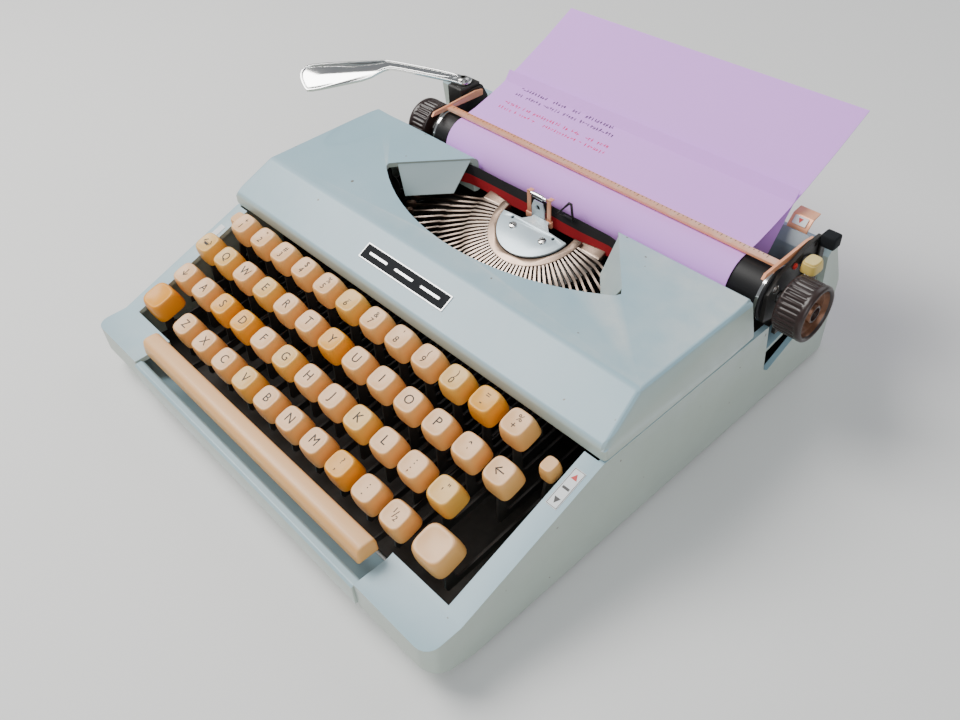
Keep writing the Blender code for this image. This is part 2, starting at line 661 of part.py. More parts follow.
def small_lever(name, x, y, z_pivot, z_top):
    """A little rocking lever that stands up through the gap beside the keys."""
    outline = [*ring_points((y, z_pivot), 0.005, 9, 0.97 * math.pi, 1.06 * math.pi),
               (y + 0.0015, z_top - 0.006), (y - 0.0015, z_top - 0.006)]
    bore = ring_points((y, z_pivot), 0.0016, 10)
    lever = add_object(name, side_mesh(name, outline, x - 0.001, x + 0.001, [bore]), "key_plastic")
    knob = hull_mesh("lever_knob", [
        (x - 0.0035, y - 0.0045, z_top - 0.0080), (x + 0.0035, y - 0.0045, z_top - 0.0080),
        (x - 0.0035, y + 0.0035, z_top - 0.0080), (x + 0.0035, y + 0.0035, z_top - 0.0080),
        (x - 0.0030, y - 0.0030, z_top - 0.0012), (x + 0.0030, y - 0.0030, z_top - 0.0012),
        (x - 0.0028, y + 0.0030, z_top), (x + 0.0028, y + 0.0030, z_top)], 0.0005, 1)
    join(lever, knob)
    smooth(lever)
    return lever


# ---------------------------------------------------------------- inside the case
def build_frame():
    """Two side plates, tied by cross rails, which hold the fulcrum rod and the carriage rail."""
    half = ROD_HALF
    thick = 0.0012
    outline = [(0.118, 0.006), (0.118, 0.050), (0.150, 0.0550), (0.203, 0.0550), (0.204, 0.032),
               (0.258, 0.032), (0.258, 0.006)]
    frame = None
    for side in (-1, 1):
        low, high = sorted((side * half, side * (half - thick)))
        plate = side_mesh("frame_plate", outline, low, high)
        if frame is None:
            frame = add_object("mechanism_frame", plate, "black_metal")
        else:
            join(frame, plate)
        if side < 0:
            edge = half - thick / 2
            join(frame,
                 box_mesh("front_rail", (-edge, 0.119, 0.0065), (edge, 0.127, 0.0085)),
                 box_mesh("rear_rail", (-edge, 0.249, 0.0070), (edge, 0.252, 0.0310)),
                 box_mesh("middle_rail", (-edge, 0.197, 0.0070), (edge, 0.200, 0.0260)),
                 box_mesh("carriage_rail", (-edge, 0.2360, 0.0300), (edge, 0.2460, 0.0440)),
                 comb_mesh(), fulcrum_rod_mesh(), *segment_meshes())
    for side in (-1, 1):
        x, y = TYPE_X + side * SPOOL_X, SPOOL_Y
        join(frame,
             rod_mesh("cup", (x, y, SPOOL_Z - 0.0040), (x, y, SPOOL_Z - 0.0025), SPOOL_RADIUS, 32),
             rod_mesh("spindle", (x, y, SPOOL_Z - 0.0030), (x, y, SPOOL_Z + 0.0165), 0.0024, 16),
             box_mesh("cup_bracket", (min(x, side * (half - thick / 2)), y - 0.006, SPOOL_Z - 0.0045),
                      (max(x, side * (half - thick / 2)), y + 0.006, SPOOL_Z - 0.0030)))
    smooth(frame)
    return frame


def fulcrum_rod_mesh():
    reach = ROD_HALF - 0.0006
    return rod_mesh("fulcrum_rod", (-reach, FULCRUM_Y, FULCRUM_Z), (reach, FULCRUM_Y, FULCRUM_Z),
                    ROD_RADIUS, 16)


def lever_positions():
    """X of every lever that runs through the comb."""
    places = [key_place(row, column).x for row, letters in LETTER_ROWS.items()
              for column in range(len(letters))]
    places += [key_place("number", column).x for column in range(12)]
    places += [key_place("upper", -1).x, key_place("upper", 11).x]
    places += [space_arm_x(-1), space_arm_x(1), LEFT_ARM_X, RIGHT_ARM_X]
    return sorted(places)


def comb_mesh():
    """An upright comb: each lever moves in a slot of its own."""
    y_low, y_high, z_low = 0.1265, 0.1285, 0.0075
    slot_low = lever_line(y_low) - 0.0105
    z_high = slot_low + 0.0150
    half = ROD_HALF - 0.0006
    comb = add_object("key_comb", box_mesh("key_comb", (-half, y_low, z_low), (half, y_high, z_high)),
                      cutter=True)
    side = LEVER_THICK / 2 + 0.00035
    slots = bmesh.new()
    for x in lever_positions():
        made = bmesh.ops.create_cube(slots, size=1.0)["verts"]
        bmesh.ops.scale(slots, vec=(2 * side, 0.010, 0.040), verts=made)
        bmesh.ops.translate(slots, vec=(x, (y_low + y_high) / 2, slot_low + 0.020), verts=made)
    cut(comb, mesh_from(slots, "comb_slots"))
    return comb.data.copy()


BASKET_TILT = math.radians(19)
BASKET_PLACE = Vector((TYPE_X + 0.003, 0.2015, 0.0582))


def basket_matrix(lift=0.0):
    """The type basket slopes down towards the keyboard."""
    return (Matrix.Translation(BASKET_PLACE) @ Matrix.Rotation(BASKET_TILT, 4, "X")
            @ Matrix.Translation((0, 0, lift)))


def fan_angles():
    """Direction of each typebar at rest, from the left side round the front to the right."""
    first, last = math.radians(184), math.radians(356)
    return [first + (last - first) * number / (TYPEBARS - 1) for number in range(TYPEBARS)]


def build_typebars():
    """The fan of typebars at rest, joined where they hang in the segment."""
    outline = []
    for angle in fan_angles():
        along = Vector((math.cos(angle), math.sin(angle)))
        across = Vector((-along.y, along.x))
        half, tip = 0.00055, 0.0011
        neck = TYPEBAR_REACH - 0.009
        root = SEGMENT_INNER + 0.004
        for reach, side in ((root, -half), (neck, -half), (neck, -tip), (TYPEBAR_REACH, -tip),
                            (TYPEBAR_REACH, tip), (neck, tip), (neck, half), (root, half)):
            outline.append(tuple(along * reach + across * side))
    outline += [tuple(Vector((math.cos(a), math.sin(a))) * SEGMENT_INNER)
                for a in reversed(fan_angles())]
    mesh = outline_mesh("typebars", outline, 0.0022)
    mesh.transform(basket_matrix(0.0034 + GAP))
    return add_object("typebars", mesh, "steel")


def segment_meshes():
    """The half ring that holds the typebars, on two legs, with the pale plate on top."""
    angles = (math.radians(180), math.pi)
    outer = ring_points((0, 0), SEGMENT_OUTER, 25, *angles)
    inner = ring_points((0, 0), SEGMENT_INNER - 0.006, 25, math.radians(360), -math.pi)
    mesh = outline_mesh("type_segment", outer + inner, 0.0045)
    mesh.transform(basket_matrix(0.0))
    middle = (SEGMENT_OUTER + SEGMENT_INNER) / 2 - 0.003
    legs = [box_mesh("segment_leg", (x - 0.003, BASKET_PLACE.y - 0.0033, 0.0200),
                     (x + 0.003, BASKET_PLACE.y - 0.0008, BASKET_PLACE.z + 0.0005))
            for x in (BASKET_PLACE.x - middle, BASKET_PLACE.x + middle)]
    pillars = []
    for degrees in (205, 250, 290, 335):
        reach = SEGMENT_INNER - 0.0035
        x, y = reach * math.cos(math.radians(degrees)), reach * math.sin(math.radians(degrees))
        pillar = rod_mesh("plate_pillar", (x, y, 0), (x, y, 0.0060), 0.0012, 12)
        pillar.transform(basket_matrix())
        pillars.append(pillar)
    return (mesh, *legs, *pillars, segment_plate_mesh())


def segment_plate_mesh():
    """The pale plate over the segment, on a pillar, with its neck up to the ribbon guide."""
    arc = ring_points((0, -0.0015), SEGMENT_INNER - 0.0047, 19, math.radians(190), math.radians(160))
    outline = [*arc, (0.0052, -0.0035), (0.0050, 0.0010), (-0.0050, 0.0010), (-0.0052, -0.0035)]
    hole = ring_points((0, -0.010), 0.0022, 16)
    mesh = outline_mesh("segment_plate", outline, 0.0014, [hole])
    mesh.transform(basket_matrix(0.0062))
    return mesh


def build_vibrator():
    """The fork in front of the platen that lifts the ribbon for each letter."""
    x, y = TYPE_X, FORK_Y
    stem = 0.0400
    low, neck, high = RIBBON_LOW - 0.0005, RIBBON_LOW + 0.0040, RIBBON_LOW + RIBBON_WIDTH + 0.0040
    fork = [(-0.0090, low), (-0.0030, low), (-0.0030, stem), (0.0030, stem), (0.0030, low),
            (0.0090, low), (0.0090, high), (0.0060, high), (0.0060, neck), (-0.0060, neck),
            (-0.0060, high), (-0.0090, high)]
    mesh = outline_mesh("ribbon_vibrator", fork, 0.0009)
    mesh.transform(Matrix.Translation((x, y, 0)) @ Matrix.Rotation(math.pi / 2, 4, "X"))
    return add_object("ribbon_vibrator", mesh, "chrome")


def ribbon_route():
    """Plan of the ribbon from the left spool past the typing point to the right spool."""
    reach, y_out, y_in = SPOOL_X - 0.005, SPOOL_Y + SPOOL_RADIUS + 0.0015, RIBBON_Y
    half = [(reach, y_out), (0.066, y_in - 0.0045), (0.048, y_in - 0.0004), (0.030, y_in)]
    return [(TYPE_X - x, y) for x, y in half] + [(TYPE_X + x, y) for x, y in reversed(half)]


def build_ribbon():
    route = ribbon_route()
    thick = 0.0003
    front = [(x, y - thick) for x, y in reversed(route)]
    mesh = plan_mesh("ink_ribbon", route + front, RIBBON_LOW, RIBBON_LOW + RIBBON_WIDTH)
    return add_object("ink_ribbon", mesh, "ribbon")


def build_spool(side):
    where = "left" if side < 0 else "right"
    x, y = TYPE_X + side * SPOOL_X, SPOOL_Y
    name = f"ribbon_spool_{where}"
    low, high = SPOOL_Z, SPOOL_Z + 0.0155
    spool = add_object(name, rod_mesh(name, (x, y, low), (x, y, high), SPOOL_WINDING * SPOOL_RADIUS, 32),
                       "ribbon")
    join(spool, rod_mesh("flange", (x, y, low - 0.0010), (x, y, low + 0.0004), SPOOL_RADIUS, 32))
    cut(spool, rod_mesh("hub", (x, y, low - 0.01), (x, y, high + 0.01), 0.0030, 16))
    smooth(spool)
    return spool


# ---------------------------------------------------------------- carriage
def build_carriage_frame():
    """Two end plates and a rear channel that rides over the fixed rail."""
    low_x = PLATEN_LEFT - GAP - END_PLATE
    high_x = PLATEN_RIGHT + GAP + END_PLATE
    front, rear, top = PLATEN_Y - PLATEN_RADIUS + 0.0035, PLATEN_Y + BAIL_REACH + 0.0085, BAIL_Z + 0.0029
    outline = [(0.2265, 0.0475), (0.2265, 0.0600), (front, 0.0640), (front, 0.0800),
               (front + 0.0080, top - 0.0060), (rear - 0.0120, top), (rear - 0.0040, top),
               (rear, top - 0.0080), (rear, 0.0475)]
    axle = ring_points((PLATEN_Y, PLATEN_Z), SHAFT_RADIUS + GAP, 16)
    pin = ring_points((PLATEN_Y + BAIL_REACH, BAIL_Z), 0.0013, 10)
    frame = add_object("carriage_frame", side_mesh("carriage_frame", outline, low_x,
                                                   low_x + END_PLATE, [axle, pin]), "black_metal")
    join(frame,
         box_mesh("channel", (low_x + 0.001, 0.2330, 0.0475), (high_x - 0.001, 0.2500, 0.0495)),
         box_mesh("rear_web", (low_x + 0.001, 0.2500, 0.0475), (high_x - 0.001, 0.2520, 0.0640)),
         side_mesh("right_end", outline, high_x - END_PLATE, high_x, [axle, pin]),
         *lever_bracket_meshes())
    smooth(frame)
    return frame


LEVER_ROOT = Vector((PLATEN_LEFT - 0.0080, PLATEN_Y + 0.0210, BAIL_Z + 0.0054))


def build_platen():
    shaft_low = PLATEN_LEFT - GAP - END_PLATE - KNOB_STANDOFF - KNOB_LENGTH + 0.003
    shaft_high = PLATEN_RIGHT + GAP + END_PLATE + KNOB_STANDOFF + KNOB_LENGTH - 0.003
    platen = add_object("platen", rod_mesh("platen", (PLATEN_LEFT, PLATEN_Y, PLATEN_Z),
                                           (PLATEN_RIGHT, PLATEN_Y, PLATEN_Z), PLATEN_RADIUS, 48),
                        "platen_rubber")
    join(platen, rod_mesh("shaft", (shaft_low, PLATEN_Y, PLATEN_Z), (shaft_high, PLATEN_Y, PLATEN_Z),
                          SHAFT_RADIUS, 24))
    smooth(platen)
    knobs = []
    for side, inner in ((-1, PLATEN_LEFT - GAP - END_PLATE - KNOB_STANDOFF),
                        (1, PLATEN_RIGHT + GAP + END_PLATE + KNOB_STANDOFF)):
        where = "left" if side < 0 else "right"
        name = f"platen_knob_{where}"
        outer = inner + side * KNOB_LENGTH
        knob = add_object(name, rod_mesh(name, (inner, PLATEN_Y, PLATEN_Z),
                                         (outer, PLATEN_Y, PLATEN_Z), KNOB_RADIUS, 40),
                          "knob_plastic")
        cut(knob,
            rod_mesh("recess", (outer - side * 0.0030, PLATEN_Y, PLATEN_Z),
                     (outer + side * 0.005, PLATEN_Y, PLATEN_Z), KNOB_RADIUS - 0.0022, 40),
            rod_mesh("bore", (inner - side * 0.005, PLATEN_Y, PLATEN_Z),
                     (outer, PLATEN_Y, PLATEN_Z), SHAFT_RADIUS + GAP, 24))
        smooth(knob)
        knobs.append(knob)
    return platen, *knobs


def build_bail():
    """The scale bar that holds the paper down, on two arms."""
    left, right = PLATEN_LEFT + 0.0006, PLATEN_RIGHT - 0.0006
    y, z = PLATEN_Y, BAIL_Z
    bail = add_object("paper_bail", box_mesh("paper_bail", (left, y - 0.0018, z - 0.0008),
                                             (right, y + 0.0026, z + 0.0006)), "copper_steel")
    arm = [(y - 0.0130, z - 0.0010), (y - 0.0110, z + 0.0012), (y + BAIL_REACH - 0.003, z + 0.0022),
           (y + BAIL_REACH + 0.0028, z + 0.0012), (y + BAIL_REACH + 0.0028, z - 0.0022),
           (y + BAIL_REACH - 0.003, z - 0.0022), (y - 0.0110, z - 0.0010)]
    for low in (left - 0.0002, right - 0.0012):
        join(bail, side_mesh("bail_arm", arm, low, low + 0.0014))
    for side, end in ((-1, left), (1, right)):
        join(bail, rod_mesh("bail_pin", (end - side * 0.0004, y + BAIL_REACH, z),
                            (end + side * 0.0015, y + BAIL_REACH, z), 0.0010, 10))
    smooth(bail)
    return bail


def build_return_lever():
    """The chrome lever at the left end of the carriage."""
    root = LEVER_ROOT
    hand = [(0.0040, 0.0045), (-0.0540, -0.0120), (-0.0590, -0.0160), (-0.0890, -0.0420),
            (-0.0940, -0.0540), (-0.0880, -0.0600), (-0.0750, -0.0545), (-0.0560, -0.0270),
            (-0.0480, -0.0190), (0.0040, -0.0045), (0.0062, 0.0)]
    placed = [(root.x + x, root.y + y) for x, y in hand]
    bore = ring_points((root.x, root.y), 0.0019, 12)
    lever = add_object("return_lever", plan_mesh("return_lever", placed, root.z, root.z + 0.0020, [bore]),
                       "chrome")
    smooth(lever)
    return lever


def lever_bracket_meshes():
    """The bracket on the left end plate and the post that the return lever turns on."""
    root = LEVER_ROOT
    return (box_mesh("lever_bracket", (root.x - 0.0060, root.y - 0.0080, 0.0810),
                     (PLATEN_LEFT - GAP - END_PLATE / 2, root.y + 0.0080, root.z - GAP), 0.0008, 1),
            rod_mesh("lever_post", (root.x, root.y, root.z - 0.003),
                     (root.x, root.y, root.z + 0.0032), 0.0016, 12))


def paper_route():
    """Side view of the sheet: up the paper table, round under the platen and out at the top."""
    radius = PLATEN_RADIUS + PAPER_THICK + 0.0002
    wrap = ring_points((PLATEN_Y, PLATEN_Z), radius, 22, math.radians(-28), math.radians(-236))
    last_y, last_z = wrap[-1]
    tail = [(PLATEN_Y + radius + 0.0249, PLATEN_Z + 0.0300), (PLATEN_Y + radius + 0.0094, PLATEN_Z + 0.0090),
            (PLATEN_Y + radius + 0.0024, PLATEN_Z - 0.0010)]
    rise = []
    for step in range(1, 9):
        share = step / 8
        rise.append((last_y + (PLATEN_Y + PAPER_RISE_Y - last_y) * share,
                     last_z + (PLATEN_Z + PLATEN_RADIUS + PAPER_RISE_Z - last_z) * share ** 1.35))
    return tail + wrap + rise


def build_paper():
    route = [Vector(point) for point in paper_route()]
    upper, lower = [], []
    for number, point in enumerate(route):
        before = route[max(number - 1, 0)]
        after = route[min(number + 1, len(route) - 1)]
        along = (after - before).normalized()
        across = Vector((-along.y, along.x)) * PAPER_THICK / 2
        upper.append(tuple(point + across))
        lower.append(tuple(point - across))
    middle = CARRIAGE_REST - 0.0020
    mesh = side_mesh("paper_sheet", upper + lower[::-1], middle - PAPER_HALF, middle + PAPER_HALF)
    sheet = add_object("paper_sheet", mesh, "paper")
    smooth(sheet)
    return sheet


def build_paper_table():
    """The sloping plate behind the platen that the sheet leans on."""
    half = PLATEN_LENGTH / 2 - 0.004
    y, z = PLATEN_Y, PLATEN_Z
    foot = PLATEN_RADIUS + 0.0050
    outline = [(y + foot, z - 0.0090), (y + foot + 0.0015, z - 0.0090),
               (y + foot + 0.0082, z + 0.0090), (y + foot + 0.0132, z + 0.0140),
               (y + foot + 0.0122, z + 0.0147), (y + foot + 0.0068, z + 0.0096)]
    table = add_object("paper_table", side_mesh("paper_table", outline, CARRIAGE_REST - half,
                                                CARRIAGE_REST + half), "grey_paint")
    smooth(table)
    return table


def build_release_levers():
    """Carriage release with its pale tip, and the paper release with its black tip."""
    outer = PLATEN_RIGHT + GAP * 2 + END_PLATE
    tall = [(0.2395, 0.0740), (0.2450, 0.0740), (0.2450, 0.0860), (0.2370, 0.0890), (0.2350, 0.0850),
            (0.2395, 0.0835)]
    bore = ring_points((0.2422, 0.0765), 0.0012, 10)
    release = add_object("carriage_release_lever", side_mesh("carriage_release_lever", tall, outer,
                                                             outer + 0.0014, [bore]), "steel")
    join(release, box_mesh("release_tip", (outer + 0.0002, 0.2330, 0.0850),
                           (outer + 0.0100, 0.2400, 0.0900), 0.0010, 1))
    smooth(release)
    inner = PLATEN_RIGHT + GAP * 2 + END_PLATE
    low = [(0.2500, 0.0700), (0.2545, 0.0700), (0.2545, 0.0900), (0.2500, 0.0900)]
    hole = ring_points((0.2522, 0.0730), 0.0012, 10)
    paper_release = add_object("paper_release_lever", side_mesh(
        "paper_release_lever", low, inner, inner + 0.0014, [hole]), "black_metal")
    join(paper_release, rod_mesh("knob", (inner + 0.0002, 0.2522, 0.0920),
                                 (inner + 0.0080, 0.2522, 0.0920), 0.0042, 16))
    smooth(paper_release)
    return release, paper_release


# ---------------------------------------------------------------- assembly
def place_origin(root):
    """Move the whole object so that the middle of the bottom of its box is the origin."""
    bpy.context.view_layer.update()
    low, high = Vector((1e9,) * 3), Vector((-1e9,) * 3)
    for thing in COLLECTION.objects:
        for vert in thing.data.vertices:
            point = thing.matrix_world @ vert.co
            low = Vector(map(min, low, point))
            high = Vector(map(max, high, point))
    root.location = (-(low.x + high.x) / 2, -(low.y + high.y) / 2, -low.z)
    bpy.context.view_layer.update()


def main():
    global COLLECTION, CUTTERS
    clear_scene()
    COLLECTION = new_collection("portable_typewriter")
    CUTTERS = new_collection("cutters")
    root = pivot("typewriter_root", (0, 0, 0))

    fixed = [build_base(), build_front_panel(), build_bottom(), build_frame(),
             build_typebars(), build_ribbon()]
    carry(root, *fixed)

    cover_pivot = pivot("cover_pivot", (0, LIP_Y, COVER_BOTTOM), root)
    carry(cover_pivot, build_cover())

    fulcrum = pivot("fulcrum", (0, FULCRUM_Y, FULCRUM_Z), root)
    build_letter_keys(fulcrum)
    lock, release, backspace = build_side_keys()
    for thing in (build_number_bank(), build_space_bar(), release, backspace):
        carry(pivot(f"{thing.name}_pivot", (0, FULCRUM_Y, FULCRUM_Z), root), thing)
    shift_pivot = pivot("shift_pivot", (0, FULCRUM_Y, FULCRUM_Z), root)
    carry(shift_pivot, build_shift())
    carry(pivot("shift_lock_pivot", (LOCK_X, LOCK_Y, LOCK_Z), shift_pivot), lock)

    selector = small_lever("colour_selector", 0.1245, 0.0860, 0.036, 0.0565)
    carry(pivot("colour_selector_pivot", (0.1245, 0.0860, 0.036), root), selector)
    touch = small_lever("touch_lever", -0.1250, 0.0905, 0.036, 0.0625)
    carry(pivot("touch_lever_pivot", (-0.1250, 0.0905, 0.036), root), touch)

    for side in (-1, 1):
        spool = build_spool(side)
        carry(pivot(f"{spool.name}_pivot", (TYPE_X + side * SPOOL_X, SPOOL_Y, SPOOL_Z), root), spool)
    carry(pivot("vibrator_pivot", (TYPE_X, FORK_Y, RIBBON_LOW), root), build_vibrator())

    carriage = pivot("carriage_pivot", (CARRIAGE_REST, PLATEN_Y, PLATEN_Z), root)
    carry(carriage, build_carriage_frame(), build_paper(), build_paper_table())
    carry(pivot("platen_pivot", (CARRIAGE_REST, PLATEN_Y, PLATEN_Z), carriage), *build_platen())
    carry(pivot("lever_pivot", LEVER_ROOT, carriage), build_return_lever())
    carry(pivot("bail_pivot", (CARRIAGE_REST, PLATEN_Y + BAIL_REACH, BAIL_Z), carriage),
          build_bail())
    carriage_release, paper_release = build_release_levers()
    carry(pivot("release_pivot", (PLATEN_RIGHT, 0.2422, 0.0765), carriage), carriage_release)
    carry(pivot("paper_release_pivot", (PLATEN_RIGHT, 0.2522, 0.0730), carriage), paper_release)

    place_origin(root)


main()
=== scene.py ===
"""A slim portable typewriter with a pale blue case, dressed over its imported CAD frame.

The file reads as a lesson: each step says what the piece is on the real machine, how it could be
made in Blender and why this way was chosen, and then short cells make it.
"""
import math
import random

import bmesh
import bpy
from mathutils import Matrix, Vector


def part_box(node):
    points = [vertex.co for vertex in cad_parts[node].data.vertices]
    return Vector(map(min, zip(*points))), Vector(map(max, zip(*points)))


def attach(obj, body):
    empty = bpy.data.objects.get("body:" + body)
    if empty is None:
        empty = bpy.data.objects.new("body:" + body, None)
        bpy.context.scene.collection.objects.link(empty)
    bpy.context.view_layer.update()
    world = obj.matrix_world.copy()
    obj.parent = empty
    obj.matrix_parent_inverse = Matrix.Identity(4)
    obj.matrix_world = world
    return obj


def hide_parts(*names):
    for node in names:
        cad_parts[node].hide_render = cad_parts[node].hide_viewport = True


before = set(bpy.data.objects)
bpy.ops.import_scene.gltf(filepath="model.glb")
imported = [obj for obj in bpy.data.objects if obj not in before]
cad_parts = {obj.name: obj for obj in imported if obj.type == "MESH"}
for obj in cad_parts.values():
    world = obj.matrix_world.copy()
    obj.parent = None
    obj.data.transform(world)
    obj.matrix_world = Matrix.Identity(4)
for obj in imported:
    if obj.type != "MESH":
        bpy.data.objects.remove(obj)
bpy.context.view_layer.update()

# %% [markdown]
# ## Where everything is
# A typewriter is laid out from its case: the keys, the typebars and the carriage all have their
# place over the base moulding. The CAD frame already knows these places, so every measure starts
# from the box of a CAD node. Case coordinates are easier to read than world ones: X from the
# middle of the case, Y from its front edge, Z from the desk, all in metres.

# %% Case coordinates
BASE_LOW, BASE_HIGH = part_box("base_shell")
CASE_MIDDLE = Vector(((BASE_LOW[0] + BASE_HIGH[0]) / 2, BASE_LOW[1], 0.0))
HALF_CASE = (BASE_HIGH[0] - BASE_LOW[0]) / 2


def case(x, y, z):
    """A point given in case coordinates, as a world point."""
    return CASE_MIDDLE + Vector((x, y, z))


def node_span(name):
    """Lowest and highest corner of a CAD node in case coordinates."""
    low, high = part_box(name)
    return Vector(low) - CASE_MIDDLE, Vector(high) - CASE_MIDDLE


print("half width of the case", round(HALF_CASE, 4), "case origin", CASE_MIDDLE[:])

# %% [markdown]
# ## Camera, floor and light
# The machine is seen from its right front corner and from well above, close enough that the
# near corner looks larger. The camera is placed by its own three axes, which is the surest way
# to repeat a known view. A pale floor that curves up behind and three large soft lamps give a
# plain studio, so that gloss shows as broad, quiet reflections.

# %% Camera
view_right = Vector((0.6819, 0.7295, -0.0538))
view_up = Vector((-0.4741, 0.4968, 0.7269))
view_back = view_right.cross(view_up).normalized()
camera_data = bpy.data.cameras.new("studio_camera")
camera_data.sensor_width = 36.0
camera_data.lens = 33.375
camera_data.clip_start = 0.01
camera = bpy.data.objects.new("studio_camera", camera_data)
bpy.context.scene.collection.objects.link(camera)
axes = Matrix((view_right, view_up, view_back)).transposed().to_4x4()
camera.matrix_world = Matrix.Translation(case(0.2908, -0.0878, 0.3426)) @ axes
bpy.context.scene.camera = camera
print("camera at", [round(value, 3) for value in camera.matrix_world.translation])


# %% Soft lights
def soft_light(name, place, aim, size, power, colour=(1.0, 1.0, 1.0)):
    """A large square lamp that looks at a point."""
    data = bpy.data.lights.new(name, "AREA")
    data.size = size
    data.energy = power
    data.color = colour
    lamp = bpy.data.objects.new(name, data)
    bpy.context.scene.collection.objects.link(lamp)
    lamp.location = place
    lamp.rotation_euler = (Vector(aim) - Vector(place)).to_track_quat("-Z", "Y").to_euler()
    return lamp


soft_light("key_light", (-0.75, -0.35, 1.15), (0, 0, 0.03), 0.8, 25.0, (1.0, 0.98, 0.95))
soft_light("fill_light", (1.0, -0.7, 0.8), (0, 0, 0.03), 1.0, 8.0, (0.95, 0.98, 1.0))
soft_light("rear_light", (0.1, 1.1, 0.9), (0, 0, 0.05), 1.0, 4.5, (0.94, 0.97, 1.0))
world = bpy.data.worlds.new("studio_world")
bpy.context.scene.world = world
world.use_nodes = True
world.node_tree.nodes["Background"].inputs["Color"].default_value = (0.86, 0.90, 0.95, 1.0)
world.node_tree.nodes["Background"].inputs["Strength"].default_value = 0.30

# %% [markdown]
# ## Shared finish effects
# A real case isn't one flat colour. Paint is thinner and paler along its edges, moulded plastic
# has a fine grain, and dust and yellowing gather unevenly. These could be painted by hand or
# baked, but a node group does it once for every material: it puts out a mask or a height, and
# each material decides what to do with it. The groups only make values, and each shader stays
# in its own material.


# %% Group helpers
def new_group(name, inputs, outputs):
    """An empty shader group with named inputs (with defaults) and named outputs."""
    group = bpy.data.node_groups.new(name, "ShaderNodeTree")
    for label, kind, default in inputs:
        socket = group.interface.new_socket(label, in_out="INPUT", socket_type=kind)
        socket.default_value = default
    for label, kind in outputs:
        group.interface.new_socket(label, in_out="OUTPUT", socket_type=kind)
    return group, group.nodes.new("NodeGroupInput"), group.nodes.new("NodeGroupOutput")


def value_node(tree, operation, *inputs):
    """A Math node; numbers are set on it and sockets are linked to it."""
    node = tree.nodes.new("ShaderNodeMath")
    node.operation = operation
    for place, item in enumerate(inputs):
        if isinstance(item, (int, float)):
            node.inputs[place].default_value = item
        else:
            tree.links.new(item, node.inputs[place])
    return node.outputs[0]


def noise_node(tree, vector, scale, detail=3.0, roughness=0.55):
    """Noise over a vector, at a scale that may be a number or a socket."""
    node = tree.nodes.new("ShaderNodeTexNoise")
    node.inputs["Detail"].default_value = detail
    node.inputs["Roughness"].default_value = roughness
    tree.links.new(vector, node.inputs["Vector"])
    if isinstance(scale, (int, float)):
        node.inputs["Scale"].default_value = scale
    else:
        tree.links.new(scale, node.inputs["Scale"])
    return node.outputs["Fac"]


def object_place(tree):
    """The point on the piece, which keeps a pattern in place when the piece moves."""
    return tree.nodes.new("ShaderNodeTexCoord").outputs["Object"]


def facing_up(tree):
    """How far the surface faces up: 1 on a flat top, 0 on an upright wall."""
    parts = tree.nodes.new("ShaderNodeSeparateXYZ")
    tree.links.new(tree.nodes.new("ShaderNodeNewGeometry").outputs["Normal"], parts.inputs[0])
    return parts.outputs["Z"]


def clamp_to_one(tree, value):
    """A value held between 0 and 1."""
    return value_node(tree, "MINIMUM", value_node(tree, "MAXIMUM", value, 0.0), 1.0)


# %% Worn edges
edge_wear, given, result = new_group(
    "worn_edges", [("Amount", "NodeSocketFloat", 0.5), ("Breakup", "NodeSocketFloat", 220.0)],
    [("Mask", "NodeSocketFloat")])
convex = edge_wear.nodes.new("ShaderNodeNewGeometry").outputs["Pointiness"]
patches = noise_node(edge_wear, object_place(edge_wear), given.outputs["Breakup"], 4.0)
raised = value_node(edge_wear, "SUBTRACT", convex, 0.505)
sharp = value_node(edge_wear, "MULTIPLY", raised, 9.0)
broken = value_node(edge_wear, "MULTIPLY", sharp, patches)
masked = value_node(edge_wear, "MULTIPLY", broken, given.outputs["Amount"])
edge_wear.links.new(clamp_to_one(edge_wear, masked), result.inputs["Mask"])
print("made", edge_wear.name)

# %% Moulded grain: a fine height and a broad change of tone
grain, given, result = new_group(
    "moulded_grain", [("Grain Scale", "NodeSocketFloat", 2600.0),
                      ("Tone Scale", "NodeSocketFloat", 24.0)],
    [("Height", "NodeSocketFloat"), ("Tone", "NodeSocketFloat")])
spot = object_place(grain)
grain.links.new(noise_node(grain, spot, given.outputs["Grain Scale"], 2.0),
                result.inputs["Height"])
grain.links.new(noise_node(grain, spot, given.outputs["Tone Scale"], 4.0), result.inputs["Tone"])
print("made", grain.name)

# %% Settled dust: lies on what faces up, in soft clouds
dust, given, result = new_group(
    "settled_dust", [("Amount", "NodeSocketFloat", 0.3), ("Cloud Scale", "NodeSocketFloat", 60.0)],
    [("Mask", "NodeSocketFloat")])
upward = value_node(dust, "MAXIMUM", facing_up(dust), 0.0)
clouds = noise_node(dust, object_place(dust), given.outputs["Cloud Scale"], 5.0, 0.7)
lying = value_node(dust, "MULTIPLY", upward, clouds)
dust.links.new(value_node(dust, "MULTIPLY", lying, given.outputs["Amount"]),
               result.inputs["Mask"])
print("made", dust.name)

# %% Small chips and specks
specks, given, result = new_group(
    "small_specks", [("Scale", "NodeSocketFloat", 320.0), ("Rarity", "NodeSocketFloat", 0.72)],
    [("Mask", "NodeSocketFloat")])
fine = noise_node(specks, object_place(specks), given.outputs["Scale"], 1.0, 0.3)
over = value_node(specks, "SUBTRACT", fine, given.outputs["Rarity"])
steep = value_node(specks, "MULTIPLY", over, 40.0)
specks.links.new(clamp_to_one(specks, steep), result.inputs["Mask"])
print("made", specks.name)

# %% [markdown]
# ## Finishes
# Each finish is a Principled shader with its own colours, and the shared groups bring the
# unevenness. A helper builds the common part: a base colour that drifts between two tones, a
# worn-edge colour, dust, and a fine bump. Gloss, metal and coat are plain numbers set on the
# shader itself, because they are the same all over the piece.


# %% Finish helpers
DUST_COLOUR = (0.42, 0.38, 0.33)


